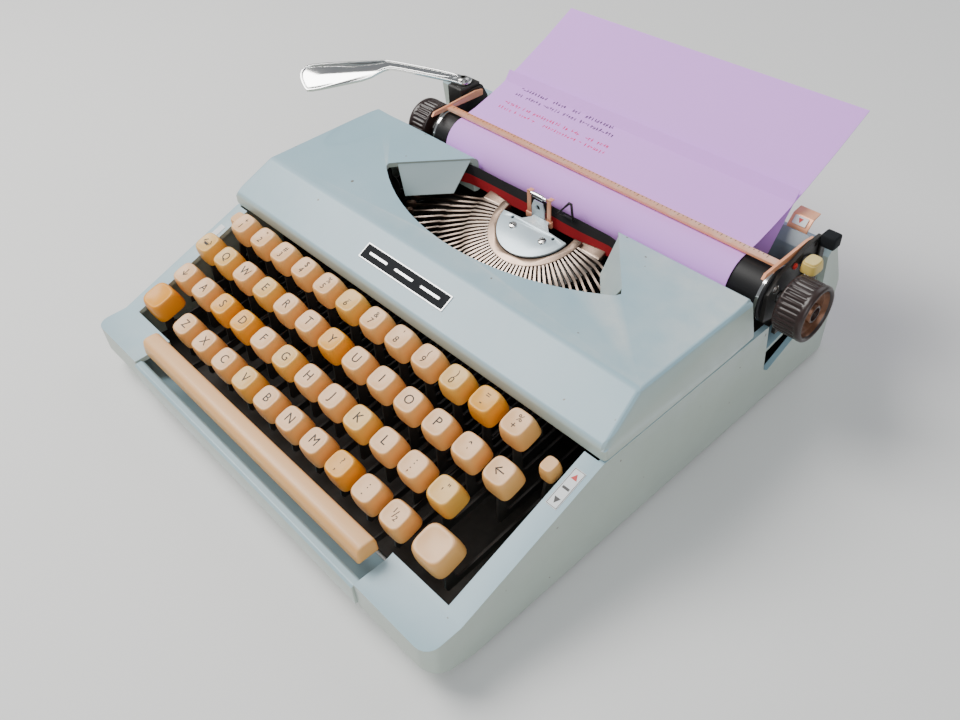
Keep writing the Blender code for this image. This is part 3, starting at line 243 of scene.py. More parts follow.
def mix_colours(tree, factor, first, second):
    """A colour mix; each side is a colour or a socket."""
    node = tree.nodes.new("ShaderNodeMix")
    node.data_type = "RGBA"
    if isinstance(factor, (int, float)):
        node.inputs[0].default_value = factor
    else:
        tree.links.new(factor, node.inputs[0])
    for socket, item in ((node.inputs[6], first), (node.inputs[7], second)):
        if isinstance(item, tuple):
            socket.default_value = (*item, 1.0)
        else:
            tree.links.new(item, socket)
    return node.outputs[2]


def use_group(tree, group, **settings):
    """One of the shared groups in a material, with its numbers set."""
    node = tree.nodes.new("ShaderNodeGroup")
    node.node_tree = group
    for label, number in settings.items():
        node.inputs[label.replace("_", " ")].default_value = number
    return node


def start_finish(name):
    """A new material: its node tree and its Principled shader."""
    material = bpy.data.materials.new(name)
    material.use_nodes = True
    return material, material.node_tree, material.node_tree.nodes["Principled BSDF"]


def up_blend(tree, side_at, top_at):
    """A share that grows from 0 to 1 as the surface turns from a side to the top."""
    level = tree.nodes.new("ShaderNodeMapRange")
    level.inputs["From Min"].default_value = side_at
    level.inputs["From Max"].default_value = top_at
    tree.links.new(facing_up(tree), level.inputs["Value"])
    return level.outputs["Result"]


def add_bump(tree, shader, height, strength, distance=0.0001):
    """A fine relief from a height."""
    bump = tree.nodes.new("ShaderNodeBump")
    bump.inputs["Strength"].default_value = strength
    bump.inputs["Distance"].default_value = distance
    tree.links.new(height, bump.inputs["Height"])
    tree.links.new(bump.outputs["Normal"], shader.inputs["Normal"])


def plain_finish(name, light, dark, roughness, metallic=0.0, worn=None, wear=0.0,
                 dusty=0.0, coat=0.0, tone_scale=24.0, grain_scale=2600.0, bump=0.08, shine=0.5):
    """Two drifting tones, worn edges, dust and a fine grain on one shader."""
    material, tree, shader = start_finish(name)
    body = use_group(tree, grain, Grain_Scale=grain_scale, Tone_Scale=tone_scale)
    colour = mix_colours(tree, body.outputs["Tone"], dark, light)
    if wear:
        edges = use_group(tree, edge_wear, Amount=wear)
        colour = mix_colours(tree, edges.outputs["Mask"], colour, worn or light)
    if dusty:
        film = use_group(tree, dust, Amount=dusty)
        colour = mix_colours(tree, film.outputs["Mask"], colour, DUST_COLOUR)
    tree.links.new(colour, shader.inputs["Base Color"])
    shader.inputs["Roughness"].default_value = roughness
    shader.inputs["Metallic"].default_value = metallic
    shader.inputs["Specular IOR Level"].default_value = shine
    shader.inputs["Coat Weight"].default_value = coat
    shader.inputs["Coat Roughness"].default_value = 0.12
    add_bump(tree, shader, body.outputs["Height"], bump)
    return material


# %% [markdown]
# ## The case colour
# The case is moulded plastic with a satin paint. Its colour is drawn pale sky blue where it faces up and
# a greyer, slightly green beige where it faces sideways. This is painted light: the tops are coloured as
# lit from the sky above and the walls as lit from the side. Painting the faces apart would leave a hard
# line at every bevel, so the two colours are mixed by how far the surface faces up, which gives the soft
# change of the real one.

# %% Case paint
case_blue, tree, shader = start_finish("pale_blue_case")
body = use_group(tree, grain, Grain_Scale=3200.0, Tone_Scale=16.0)
# painted light: the top tone and the wall tone differ only by how light falls on faces that look up or
# sideways
sky_lit_top_tone = mix_colours(tree, body.outputs["Tone"], (0.27, 0.44, 0.52), (0.38, 0.55, 0.63))
side_lit_wall_tone = mix_colours(tree, body.outputs["Tone"], (0.36, 0.43, 0.38), (0.48, 0.54, 0.46))
case_tone = mix_colours(tree, up_blend(tree, 0.15, 0.80), side_lit_wall_tone, sky_lit_top_tone)
edges = use_group(tree, edge_wear, Amount=0.9, Breakup=90.0)
case_tone = mix_colours(tree, edges.outputs["Mask"], case_tone, (0.58, 0.66, 0.66))
chips = use_group(tree, specks, Scale=230.0, Rarity=0.80)
case_tone = mix_colours(tree, chips.outputs["Mask"], case_tone, (0.20, 0.18, 0.15))
tree.links.new(case_tone, shader.inputs["Base Color"])
shader.inputs["Roughness"].default_value = 0.36
shader.inputs["Coat Weight"].default_value = 0.15
shader.inputs["Coat Roughness"].default_value = 0.2
add_bump(tree, shader, body.outputs["Height"], 0.10)
print("made", case_blue.name)

# %% [markdown]
# ## Yellowed key plastic
# The keys were all cream once. Sunlight has turned some of them honey-coloured and the left
# shift key orange. Each key is also drawn paler on its top and deeper down its sides, which is painted
# light: the top as lit from above, the sides as painted shade. So each key finish has a pale lit top tone
# and a deeper shaded side tone, mixed by how far the surface faces up, as on the case, and every ageing
# step is one call with other colours.


# %% Key finishes
def key_finish(name, top, side, blotch):
    """Cap plastic: paler where it faces up and deeper on its sides as painted light, with cloudy yellowing.
    """
    material, tree, shader = start_finish(name)
    body = use_group(tree, grain, Grain_Scale=2400.0, Tone_Scale=95.0)
    # painted light: the pale top colour where the face looks up, and the deeper side colour as painted
    # shade on the sides
    colour = mix_colours(tree, up_blend(tree, 0.45, 0.93), side, top)
    stain = value_node(tree, "MULTIPLY", body.outputs["Tone"], blotch)
    colour = mix_colours(tree, stain, colour, side)
    tree.links.new(colour, shader.inputs["Base Color"])
    shader.inputs["Roughness"].default_value = 0.33
    shader.inputs["Specular IOR Level"].default_value = 0.32
    shader.inputs["Coat Weight"].default_value = 0.08
    shader.inputs["Coat Roughness"].default_value = 0.18
    shader.inputs["Subsurface Weight"].default_value = 0.04
    shader.inputs["Subsurface Scale"].default_value = 0.003
    add_bump(tree, shader, body.outputs["Height"], 0.06)
    return material


cream_key = key_finish("cream_key", (0.92, 0.56, 0.30), (0.84, 0.43, 0.13), 0.25)
part_yellow_key = key_finish("part_yellowed_key", (0.86, 0.55, 0.20), (0.82, 0.42, 0.07), 0.7)
honey_key = key_finish("honey_key", (0.86, 0.43, 0.06), (0.80, 0.33, 0.02), 0.6)
orange_key = key_finish("orange_shift_key", (0.88, 0.38, 0.025), (0.80, 0.28, 0.01), 0.5)
legend_ink = plain_finish("legend_ink", (0.022, 0.014, 0.010), (0.012, 0.008, 0.006), 0.6)
print("key finishes:", cream_key.name, part_yellow_key.name, honey_key.name, orange_key.name)

# %% Metals, rubber, dark plastic, paper and ribbon
black_enamel = plain_finish("black_enamel", (0.020, 0.019, 0.018), (0.006, 0.006, 0.006), 0.42,
                            worn=(0.10, 0.09, 0.08), wear=0.35, dusty=0.03, shine=0.3)
bright_chrome = plain_finish("bright_chrome", (0.88, 0.88, 0.87), (0.74, 0.74, 0.73), 0.10, 1.0,
                             tone_scale=60.0, bump=0.02)
bar_steel = plain_finish("typebar_steel", (0.44, 0.31, 0.23), (0.20, 0.13, 0.09), 0.34, 1.0,
                         tone_scale=180.0, worn=(0.74, 0.66, 0.60), wear=0.5, bump=0.05)
slug_steel = plain_finish("type_slug_steel", (0.46, 0.29, 0.20), (0.16, 0.09, 0.06), 0.38, 1.0,
                          tone_scale=420.0, worn=(0.72, 0.56, 0.46), wear=1.0, bump=0.3)
copper_scale = plain_finish("copper_toned_scale", (1.0, 0.42, 0.20), (0.90, 0.32, 0.13), 0.34, 0.30,
                            tone_scale=90.0, worn=(0.92, 0.78, 0.68), wear=0.6, bump=0.04)
screw_steel = plain_finish("screw_steel", (0.72, 0.71, 0.69), (0.45, 0.44, 0.42), 0.24, 1.0,
                           tone_scale=300.0, worn=(0.9, 0.88, 0.85), wear=0.6)
platen_black = plain_finish("platen_rubber", (0.012, 0.012, 0.013), (0.006, 0.006, 0.007), 0.45,
                            shine=0.3, dusty=0.01, grain_scale=1800.0, bump=0.25)
foot_rubber = plain_finish("foot_rubber", (0.035, 0.033, 0.032), (0.018, 0.017, 0.017), 0.7,
                           grain_scale=1500.0, bump=0.35)
knob_brown = plain_finish("dark_brown_knob", (0.026, 0.012, 0.011), (0.012, 0.006, 0.006), 0.32,
                          worn=(0.09, 0.045, 0.035), wear=0.5, dusty=0.03)
knob_bronze = plain_finish("bronze_knob_face", (0.26, 0.11, 0.05), (0.05, 0.02, 0.012), 0.28, 0.5,
                           tone_scale=150.0)
lilac_paper = plain_finish("lilac_paper", (0.80, 0.40, 1.0), (0.75, 0.36, 0.96), 0.85,
                           shine=0.12, tone_scale=9.0, grain_scale=2200.0, bump=0.10)
black_ribbon = plain_finish("black_ribbon", (0.022, 0.020, 0.022), (0.009, 0.008, 0.009), 0.82,
                            grain_scale=5200.0, tone_scale=70.0, bump=0.5)
red_ribbon = plain_finish("red_ribbon", (0.44, 0.006, 0.014), (0.28, 0.004, 0.010), 0.78,
                          grain_scale=5200.0, tone_scale=70.0, bump=0.5)
grey_blue_enamel = plain_finish("grey_blue_enamel", (0.20, 0.26, 0.32), (0.13, 0.18, 0.23), 0.34,
                                worn=(0.45, 0.48, 0.50), wear=0.6, dusty=0.15, coat=0.3)
plate_blue = plain_finish("pale_blue_plate", (0.60, 0.72, 0.78), (0.46, 0.58, 0.65), 0.30, 0.25,
                          worn=(0.80, 0.84, 0.84), wear=0.7, tone_scale=60.0)
badge_black = plain_finish("badge_black", (0.020, 0.022, 0.025), (0.012, 0.013, 0.015), 0.6,
                           tone_scale=120.0, shine=0.06)
silver_line = plain_finish("silver_line", (0.74, 0.75, 0.76), (0.62, 0.63, 0.64), 0.32, 0.7)
label_white = plain_finish("label_white", (0.80, 0.83, 0.84), (0.72, 0.75, 0.76), 0.45)
mark_red = plain_finish("mark_red", (0.62, 0.03, 0.025), (0.50, 0.02, 0.02), 0.45)
mark_black = plain_finish("mark_black", (0.03, 0.03, 0.03), (0.02, 0.02, 0.02), 0.45)
typed_black = plain_finish("typed_black", (0.05, 0.025, 0.06), (0.03, 0.015, 0.04), 0.8)
typed_red = plain_finish("typed_red", (0.90, 0.02, 0.14), (0.80, 0.02, 0.10), 0.8)
cream_tip = key_finish("cream_release_tip", (0.78, 0.62, 0.26), (0.70, 0.50, 0.13), 0.4)
pale_floor = plain_finish("pale_floor", (0.80, 0.80, 0.79), (0.78, 0.78, 0.77), 0.62,
                          tone_scale=2.0, bump=0.0)
print(len(bpy.data.materials), "materials so far")

# %% Floor: flat under the machine, then a quarter turn of one metre up to a wall
FLOOR_HALF, FLOOR_BACK, FLOOR_RISE = 4.0, 3.0, 2.5
CURVE_STEPS = 8
floor_mesh = bpy.data.meshes.new("studio_floor")
bm = bmesh.new()
rows = []
profile = [(-FLOOR_HALF, 0.0), (FLOOR_BACK - 1.0, 0.0)]
profile += [(FLOOR_BACK - 1.0 + math.sin(turn), 1.0 - math.cos(turn))
            for turn in [step * math.pi / (2 * CURVE_STEPS) for step in range(1, CURVE_STEPS + 1)]]
profile += [(FLOOR_BACK, FLOOR_RISE)]
for y, z in profile:
    rows.append([bm.verts.new((x, y, z)) for x in (-FLOOR_HALF, FLOOR_HALF)])
for near, far in zip(rows, rows[1:]):
    bm.faces.new((near[0], near[1], far[1], far[0])).smooth = True
bm.to_mesh(floor_mesh)
bm.free()
studio_floor = bpy.data.objects.new("studio_floor", floor_mesh)
studio_floor.data.materials.append(pale_floor)
bpy.context.scene.collection.objects.link(studio_floor)
print("floor", len(floor_mesh.polygons), "faces")

# %% [markdown]
# ## Workshop helpers
# Most pieces are bent, turned or moulded from a few basic moves: extrude an outline, turn a
# profile round an axis, sweep a section, and ease the edges. Real edges are never sharp, and a
# small bevel is what catches the light, so the helpers end with a bevel and smooth shading.


# %% Make an object from a bmesh
def add_piece(name, bm, finishes, body, angle=35.0):
    """Link a mesh as a piece of a body, with one or more finishes."""
    bmesh.ops.recalc_face_normals(bm, faces=bm.faces)
    mesh = bpy.data.meshes.new(name)
    bm.to_mesh(mesh)
    bm.free()
    mesh.shade_smooth()
    mesh.set_sharp_from_angle(angle=math.radians(angle))
    piece = bpy.data.objects.new(name, mesh)
    bpy.context.scene.collection.objects.link(piece)
    for finish in finishes if isinstance(finishes, (list, tuple)) else [finishes]:
        mesh.materials.append(finish)
    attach(piece, body)
    return piece


def add_bevel(bm, width, segments=2, angle=22.0):
    """Ease every edge that turns by more than the angle."""
    sharp = [edge for edge in bm.edges if len(edge.link_faces) == 2
             and edge.calc_face_angle(0.0) > math.radians(angle)]
    bmesh.ops.bevel(bm, geom=sharp, offset=width, segments=segments, profile=0.5,
                    affect="EDGES", clamp_overlap=True)


# %% Extruded outlines
def mesh_of_curve(curve):
    """The mesh that a curve or a text makes; the curve itself is removed."""
    thing = bpy.data.objects.new(curve.name, curve)
    bpy.context.scene.collection.objects.link(thing)
    bpy.context.view_layer.update()
    mesh = bpy.data.meshes.new_from_object(thing.evaluated_get(
        bpy.context.evaluated_depsgraph_get()))
    bpy.data.objects.remove(thing, do_unlink=True)
    bpy.data.curves.remove(curve)
    return mesh


def merge(bm, other):
    """Put one bmesh into another, and free it."""
    spare = bpy.data.meshes.new("spare")
    other.to_mesh(spare)
    other.free()
    bm.from_mesh(spare)
    bpy.data.meshes.remove(spare)


def slab(outline, thickness, width=0.0, segments=2, holes=()):
    """A flat outline in X and Y made solid about Z = 0, its edges eased."""
    curve = bpy.data.curves.new("outline", "CURVE")
    curve.dimensions = "2D"
    curve.fill_mode = "BOTH"
    curve.extrude = thickness / 2
    for loop in (outline, *holes):
        spline = curve.splines.new("POLY")
        spline.points.add(len(loop) - 1)
        for point, (x, y) in zip(spline.points, loop):
            point.co = (x, y, 0.0, 1.0)
        spline.use_cyclic_u = True
    mesh = mesh_of_curve(curve)
    bm = bmesh.new()
    bm.from_mesh(mesh)
    bpy.data.meshes.remove(mesh)
    bmesh.ops.remove_doubles(bm, verts=bm.verts, dist=0.000002)
    if width:
        bmesh.ops.dissolve_limit(bm, angle_limit=math.radians(1), verts=bm.verts, edges=bm.edges)
        add_bevel(bm, width, segments, 30.0)
    return bm


# Turns an outline's X and Y into the case's Y and Z.
SIDEWAYS = Matrix(((0, 0, 1, 0), (1, 0, 0, 0), (0, 1, 0, 0), (0, 0, 0, 1)))


def side_slab(outline, x_low, x_high, width=0.0, segments=2, holes=()):
    """An outline in Y and Z made solid between two X values, in case coordinates."""
    bm = slab(outline, x_high - x_low, width, segments, holes)
    shift = Matrix.Translation(case((x_low + x_high) / 2, 0, 0))
    bmesh.ops.transform(bm, matrix=shift @ SIDEWAYS, verts=bm.verts)
    return bm


def plan_slab(outline, z_low, z_high, width=0.0, segments=2, holes=()):
    """An outline in X and Y made solid between two heights, in case coordinates."""
    bm = slab(outline, z_high - z_low, width, segments, holes)
    bmesh.ops.translate(bm, vec=case(0, 0, (z_low + z_high) / 2), verts=bm.verts)
    return bm


def circle(centre, radius, count, start=0.0, sweep=2 * math.pi):
    """Points round a circle or, with a smaller sweep, along an arc with both its ends."""
    steps = count if abs(sweep) >= 2 * math.pi - 0.001 else count - 1
    return [(centre[0] + radius * math.cos(start + sweep * step / steps),
             centre[1] + radius * math.sin(start + sweep * step / steps)) for step in range(count)]


def flat_block(width, depth, height):
    """A plain block about the origin, for marks too small to need eased edges."""
    bm = bmesh.new()
    bmesh.ops.create_cube(bm, size=1.0)
    bmesh.ops.scale(bm, vec=(width, depth, height), verts=bm.verts)
    return bm


# %% Turned pieces
UPWARD, RIGHTWARD = (0, 0, 1), (1, 0, 0)


def turned(profile, sides, start, along):
    """A profile of (distance, radius) turned round an axis from a world point."""
    bm = bmesh.new()
    along = Vector(along).normalized()
    turn = Vector((0, 0, 1)).rotation_difference(along).to_matrix()
    loops = []
    for distance, radius in profile:
        if radius < 0.00001:
            loops.append([bm.verts.new(Vector(start) + along * distance)])
            continue
        loops.append([bm.verts.new(Vector(start) + turn @ Vector(
            (radius * math.cos(2 * math.pi * n / sides), radius * math.sin(2 * math.pi * n / sides),
             distance))) for n in range(sides)])
    for low, high in zip(loops, loops[1:]):
        for n in range(sides):
            m = (n + 1) % sides
            if len(low) == 1 and len(high) > 1:
                bm.faces.new((low[0], high[n], high[m]))
            elif len(high) == 1 and len(low) > 1:
                bm.faces.new((low[n], low[m], high[0]))
            elif len(low) > 1:
                bm.faces.new((low[n], low[m], high[m], high[n]))
    return bm


def turned_rod(start, end, radius, ease=0.0003, sides=24):
    """A plain round rod between two world points, its ends eased."""
    start, end = Vector(start), Vector(end)
    length = (end - start).length
    return turned([(0, 0), (0, radius - ease), (ease, radius), (length - ease, radius),
                   (length, radius - ease), (length, 0)], sides, start, end - start)


def eased_box(low, high, width=0.0004, segments=2):
    """A box between two case corners with eased edges."""
    low, high = Vector(low), Vector(high)
    bm = bmesh.new()
    bmesh.ops.create_cube(bm, size=1.0)
    bmesh.ops.scale(bm, vec=high - low, verts=bm.verts)
    bmesh.ops.translate(bm, vec=case(*((low + high) / 2)), verts=bm.verts)
    bmesh.ops.bevel(bm, geom=bm.edges[:], offset=width, segments=segments, profile=0.5,
                    affect="EDGES")
    return bm


# %% Dress a CAD node
def dress(node, finish, width, body, segments=3):
    """Stand a copy of a CAD node in its place: flat faces joined, edges eased, new finish."""
    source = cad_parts[node]
    bm = bmesh.new()
    bm.from_mesh(source.data)
    bmesh.ops.transform(bm, matrix=source.matrix_world, verts=bm.verts)
    bmesh.ops.remove_doubles(bm, verts=bm.verts, dist=0.00001)
    bmesh.ops.dissolve_limit(bm, angle_limit=math.radians(1.5), verts=bm.verts, edges=bm.edges)
    if width:
        add_bevel(bm, width, segments)
    piece = add_piece(f"{node}_finished", bm, finish, body, 32.0)
    smoother = piece.modifiers.new("even_shading", "WEIGHTED_NORMAL")
    smoother.keep_sharp = True
    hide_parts(node)
    print(node, "->", piece.name, len(piece.data.polygons), "faces")
    return piece


# %% [markdown]
# ## Case mouldings
# The base is one deep moulding, the cover a second one that lifts off, and a narrow panel closes
# the front under the space bar. Their large faces are right in CAD, and what they lack is the
# soft radius along every edge. Modelling them again would risk a misfit, so each one is the CAD
# shape with its flat faces joined, a rolled bevel, and the case paint.

# %% Base, cover and front panel
dress("base_shell", case_blue, 0.0010, "case")
dress("top_cover", case_blue, 0.0007, "cover")
dress("front_panel", case_blue, 0.0004, "case")

# %% Bottom plate on four rubber feet
FOOT_RADIUS, FOOT_HEIGHT = 0.009, 0.0028
FOOT_INSET = 0.032
low, high = node_span("bottom_plate")
bm = eased_box((low.x, low.y, FOOT_HEIGHT), (high.x, high.y, high.z), 0.0003, 1)
bottom = add_piece("bottom_plate_steel", bm, black_enamel, "case")
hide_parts("bottom_plate")
bm = bmesh.new()
for side in (-1, 1):
    for y in (0.045, 0.265):
        place = case(side * (HALF_CASE - FOOT_INSET), y, 0.0)
        merge(bm, turned([(0, 0), (0, FOOT_RADIUS - 0.0026), (0.0002, FOOT_RADIUS - 0.0014),
                          (0.0010, FOOT_RADIUS - 0.0006), (FOOT_HEIGHT, FOOT_RADIUS),
                          (FOOT_HEIGHT, 0)], 32, place, UPWARD))
add_piece("rubber_feet", bm, foot_rubber, "case")

# %% [markdown]
# ## Key caps
# A cap is a tall rounded square, wider at its foot, with a bulging front, a soft shoulder and a
# shallow dish for the finger, and it tilts towards the typist. Bevelling a cube gives flat sides
# and a hard dish edge. Here each cap is a stack of rounded-square rings instead, so the width,
# the roundness and the dish each change smoothly from the foot to the middle of the top.

# %% Cap sizes, read from the CAD caps
KEY_LOW, KEY_HIGH = node_span("key_g")
CAP_WIDTH = KEY_HIGH.x - KEY_LOW.x
CAP_TALL = 0.0105
CAP_TILT = math.radians(16.3)
CAP_DISH = 0.00055
DISH_EDGE = 0.765           # where the dish begins, as a share of the cap's half width
TOP_SHARE = 0.82            # how much of its foot's width the cap keeps at the top
CAP_LEANS_BACK = CAP_TALL * math.sin(CAP_TILT)
CAP_TOP_FROM_FRONT = CAP_WIDTH / 2 * math.cos(CAP_TILT) - CAP_LEANS_BACK
REAR_EDGE_RISE = 0.34 * math.sin(CAP_TILT)      # of the rear edge over the middle, by depth
print("cap", round(CAP_WIDTH * 1000, 2), "mm wide")


def rounded_square(angle, power):
    """Distance from the middle of a unit rounded square to its side, in a direction."""
    c, s = abs(math.cos(angle)), abs(math.sin(angle))
    return (c ** power + s ** power) ** (-1.0 / power)


def cap_bmesh(width, depth, tall=CAP_TALL, sides=44, dish=CAP_DISH, top_share=TOP_SHARE):
    """One keycap around its own origin, the middle of its top, before it is tilted."""
    angles = [2 * math.pi * n / sides for n in range(sides)]
    shape = [(-tall, 0.955, 4.2), (-tall, 1.0, 4.4), (-tall * 0.86, 1.0, 4.4),
             (-tall * 0.62, 0.985, 4.2), (-tall * 0.38, 0.955, 4.0), (-tall * 0.20, 0.915, 3.9),
             (-0.0010, 0.870, 3.8), (-0.00042, 0.842, 3.7), (-0.00008, 0.805, 3.6),
             (0.0, DISH_EDGE, 3.5)]
    shape = [(z, share * (top_share / TOP_SHARE if z > -tall * 0.7 else 1.0), power)
             for z, share, power in shape]
    shape += [(-dish * (1 - (share / DISH_EDGE) ** 2), share * top_share / TOP_SHARE,
               3.4 - (DISH_EDGE - share) * 1.6) for share in (0.66, 0.50, 0.34, 0.18)]
    bm = bmesh.new()
    loops = []
    for z, share, power in shape:
        reaches = [rounded_square(angle, power) * share for angle in angles]
        loops.append([bm.verts.new((reach * math.cos(angle) * width / 2,
                                    reach * math.sin(angle) * depth / 2, z))
                      for angle, reach in zip(angles, reaches)])
    for low, high in zip(loops, loops[1:]):
        for n in range(sides):
            m = (n + 1) % sides
            bm.faces.new((low[n], low[m], high[m], high[n]))
    middle = bm.verts.new((0, 0, -dish))
    foot = bm.verts.new((0, 0, -tall + 0.0008))
    for n in range(sides):
        m = (n + 1) % sides
        bm.faces.new((loops[-1][n], loops[-1][m], middle))
        bm.faces.new((loops[0][m], loops[0][n], foot))
    return bm


# %% Legends
def legend_bmesh(marks, width, dish=CAP_DISH):
    """Flat letters laid on a cap's dish. Each mark is (text, size, x, y)."""
    bm = bmesh.new()
    for text, size, x, y in marks:
        curve = bpy.data.curves.new("mark", "FONT")
        curve.body = text
        curve.size = size
        curve.align_x = "CENTER"
        curve.align_y = "CENTER"
        curve.extrude = 0.00004
        curve.resolution_u = 3
        mesh = mesh_of_curve(curve)
        mesh.transform(Matrix.Translation((x, y, 0)))
        bm.from_mesh(mesh)
        bpy.data.meshes.remove(mesh)
    bmesh.ops.remove_doubles(bm, verts=bm.verts, dist=0.000001)
    long_edges = [edge for edge in bm.edges if edge.calc_length() > 0.0009]
    bmesh.ops.subdivide_edges(bm, edges=long_edges, cuts=2, use_grid_fill=False)
    half = width / 2 * DISH_EDGE
    for vert in bm.verts:
        share = min(1.0, max(abs(vert.co.x), abs(vert.co.y)) / half)
        vert.co.z += 0.00005 - dish * (1 - share ** 2)
    return bm


def place_cap(bm, top):
    """Tilt a cap and put the middle of its top at a case point."""
    turn = Matrix.Translation(case(*top)) @ Matrix.Rotation(CAP_TILT, 4, "X")
    bmesh.ops.transform(bm, matrix=turn, verts=bm.verts)


def key_cap(bm, top, marks, width=CAP_WIDTH, depth=CAP_WIDTH, finish=0, ink=1, **form):
    """Add a cap and its legend to a bmesh, with a finish index for each."""
    cap = cap_bmesh(width, depth, **form)
    place_cap(cap, top)
    for face in cap.faces:
        face.material_index = finish
    merge(bm, cap)
    if marks:
        letters = legend_bmesh(marks, width)
        place_cap(letters, top)
        for face in letters.faces:
            face.material_index = ink
        merge(bm, letters)


# %% [markdown]
# ## Key levers
# Each cap sits on a thin steel lever that runs back under the cover to one long rod, where all
# the levers turn. The lever could be left out, as only a little of it shows in the dark well,
# but it is what carries the key, and it swings with it. It is a stamped strip: one outline,
# a hole for the rod, and a small bevel.

# %% Lever sizes
FULCRUM = (0.190, 0.038)
FULCRUM_Y, FULCRUM_Z = FULCRUM
FRONT_LEVER = (0.0310, 0.0215)
LEVER_TALL = 0.0044
LEVER_THICK = 0.0013
CAP_SOCKET = 0.0025         # how far a stem enters its cap
hub = circle(FULCRUM, 0.0042, 12, -0.62 * math.pi, 1.24 * math.pi)
rod_hole = circle(FULCRUM, 0.0026, 14)


def lever_line(y):
    """Height of the middle of the levers at a distance from the front edge."""
    return FRONT_LEVER[1] + (FULCRUM_Z - FRONT_LEVER[1]) * (y - FRONT_LEVER[0]) / (
        FULCRUM_Y - FRONT_LEVER[0])


def lever_bmesh(x, top, foot=0.0028):
    """A key lever from its cap back to the rod, with a stem that enters the cap."""
    stem_top = top.z - CAP_TALL + CAP_SOCKET
    half_tall = LEVER_TALL / 2
    outline = [*hub, (top.y + foot + 0.002, lever_line(top.y + 0.002) + half_tall),
               (top.y + foot, lever_line(top.y) + half_tall + 0.0012),
               (top.y + foot * 0.7, stem_top), (top.y - foot * 0.7, stem_top),
               (top.y - foot, lever_line(top.y)),
               (top.y - foot + 0.0012, lever_line(top.y) - half_tall)]
    return side_slab(outline, x - LEVER_THICK / 2, x + LEVER_THICK / 2, 0.00018, 1, [rod_hole])


def add_lever(name, top, body):
    """A single key's lever as a piece of its own, under the middle of its cap."""
    return add_piece(name, lever_bmesh(top.x, top), black_enamel, body)


# %% Letter keys
LETTER_MARK = 0.0068
SIGN_KEYS = {"accent": [("ˆ", 0.0070, 0, 0.0002), ("ˋ", 0.0046, 0.0004, -0.0026)],
             "colon": [(":", 0.0052, 0, 0.0020), (";", 0.0052, 0, -0.0022)],
             "quote": [('"', 0.0050, 0.0008, 0.0016), ("'", 0.0050, -0.0008, -0.0012)],
             "comma": [("?", 0.0046, 0, 0.0018), (",", 0.0056, 0, -0.0016)],
             "period": [(":", 0.0050, 0, 0.0018), (".", 0.0056, 0, -0.0016)],
             "slash": [("1", 0.0038, -0.0014, 0.0014), ("/", 0.0056, 0, 0),
                       ("2", 0.0038, 0.0014, -0.0014)]}
KEY_COLOURS = {"s": honey_key, "d": honey_key, "y": honey_key, "comma": honey_key,
               "q": part_yellow_key, "e": part_yellow_key, "quote": part_yellow_key,
               "v": part_yellow_key, "g": part_yellow_key, "k": part_yellow_key}


def cap_top(node):
    """Middle of a letter key's top, worked out from the CAD key's highest edge."""
    low, high = node_span(node)
    return Vector(((low.x + high.x) / 2, low.y + CAP_TOP_FROM_FRONT,
                   high.z - CAP_WIDTH * REAR_EDGE_RISE))


letter_keys = sorted(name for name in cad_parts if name.startswith("key_"))
for node in letter_keys:
    letter = node[4:]
    marks = SIGN_KEYS.get(letter, [(letter.upper(), LETTER_MARK, 0, 0.0001)])
    top = cap_top(node)
    bm = bmesh.new()
    key_cap(bm, top, marks)
    cap = add_piece(f"{node}_cap", bm, [KEY_COLOURS.get(letter, cream_key), legend_ink], node,
                    40.0)
    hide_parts(node)
    add_lever(f"{node}_lever", top, node)
print(len(letter_keys), "letter keys, first at", [round(v, 4) for v in cap_top("key_a")])

# %% [markdown]
# ## Number row
# The twelve number keys share one body here, because they hang from one bar, and each cap
# carries two signs: the shifted one above, the plain one below. They are one piece in three
# finishes, so two of the caps can be yellower than the rest.

# %% Number keys
NUMBER_SIGNS = [("+", "1"), ('"', "2"), ("#", "3"), ("$", "4"), ("%", "5"), ("_", "6"),
                ("&", "7"), ("'", "8"), ("(", "9"), (")", "0"), ("=", "-"), ("%", "+")]
NUMBER_COLOURS = {5: 2, 9: 2, 10: 3}
low, high = node_span("number_key_bank")
number_step = (high.x - low.x - CAP_WIDTH) / (len(NUMBER_SIGNS) - 1)
first = Vector((low.x + CAP_WIDTH / 2, low.y + CAP_TOP_FROM_FRONT,
                high.z - CAP_WIDTH * REAR_EDGE_RISE))
number_tops = [first + Vector((column * number_step, 0, 0)) for column in range(len(NUMBER_SIGNS))]
bm = bmesh.new()
for column, (top, (shifted, plain)) in enumerate(zip(number_tops, NUMBER_SIGNS)):
    key_cap(bm, top, [(shifted, 0.0046, 0.0002, 0.0023), (plain, 0.0050, -0.0002, -0.0020)],
            finish=NUMBER_COLOURS.get(column, 0))
bank = add_piece("number_key_caps", bm, [cream_key, legend_ink, part_yellow_key, honey_key],
                 "number_keys", 40.0)
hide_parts("number_key_bank")
bm = bmesh.new()
for top in number_tops:
    merge(bm, lever_bmesh(top.x, top))
last = number_tops[-1]
merge(bm, eased_box((first.x - 0.002, first.y + 0.012, first.z - 0.0190),
                    (last.x + 0.002, first.y + 0.0145, first.z - 0.0150), 0.0003, 1))
add_piece("number_key_levers", bm, black_enamel, "number_keys")
print("number row", [round(v, 4) for v in first], "step", round(number_step, 5))

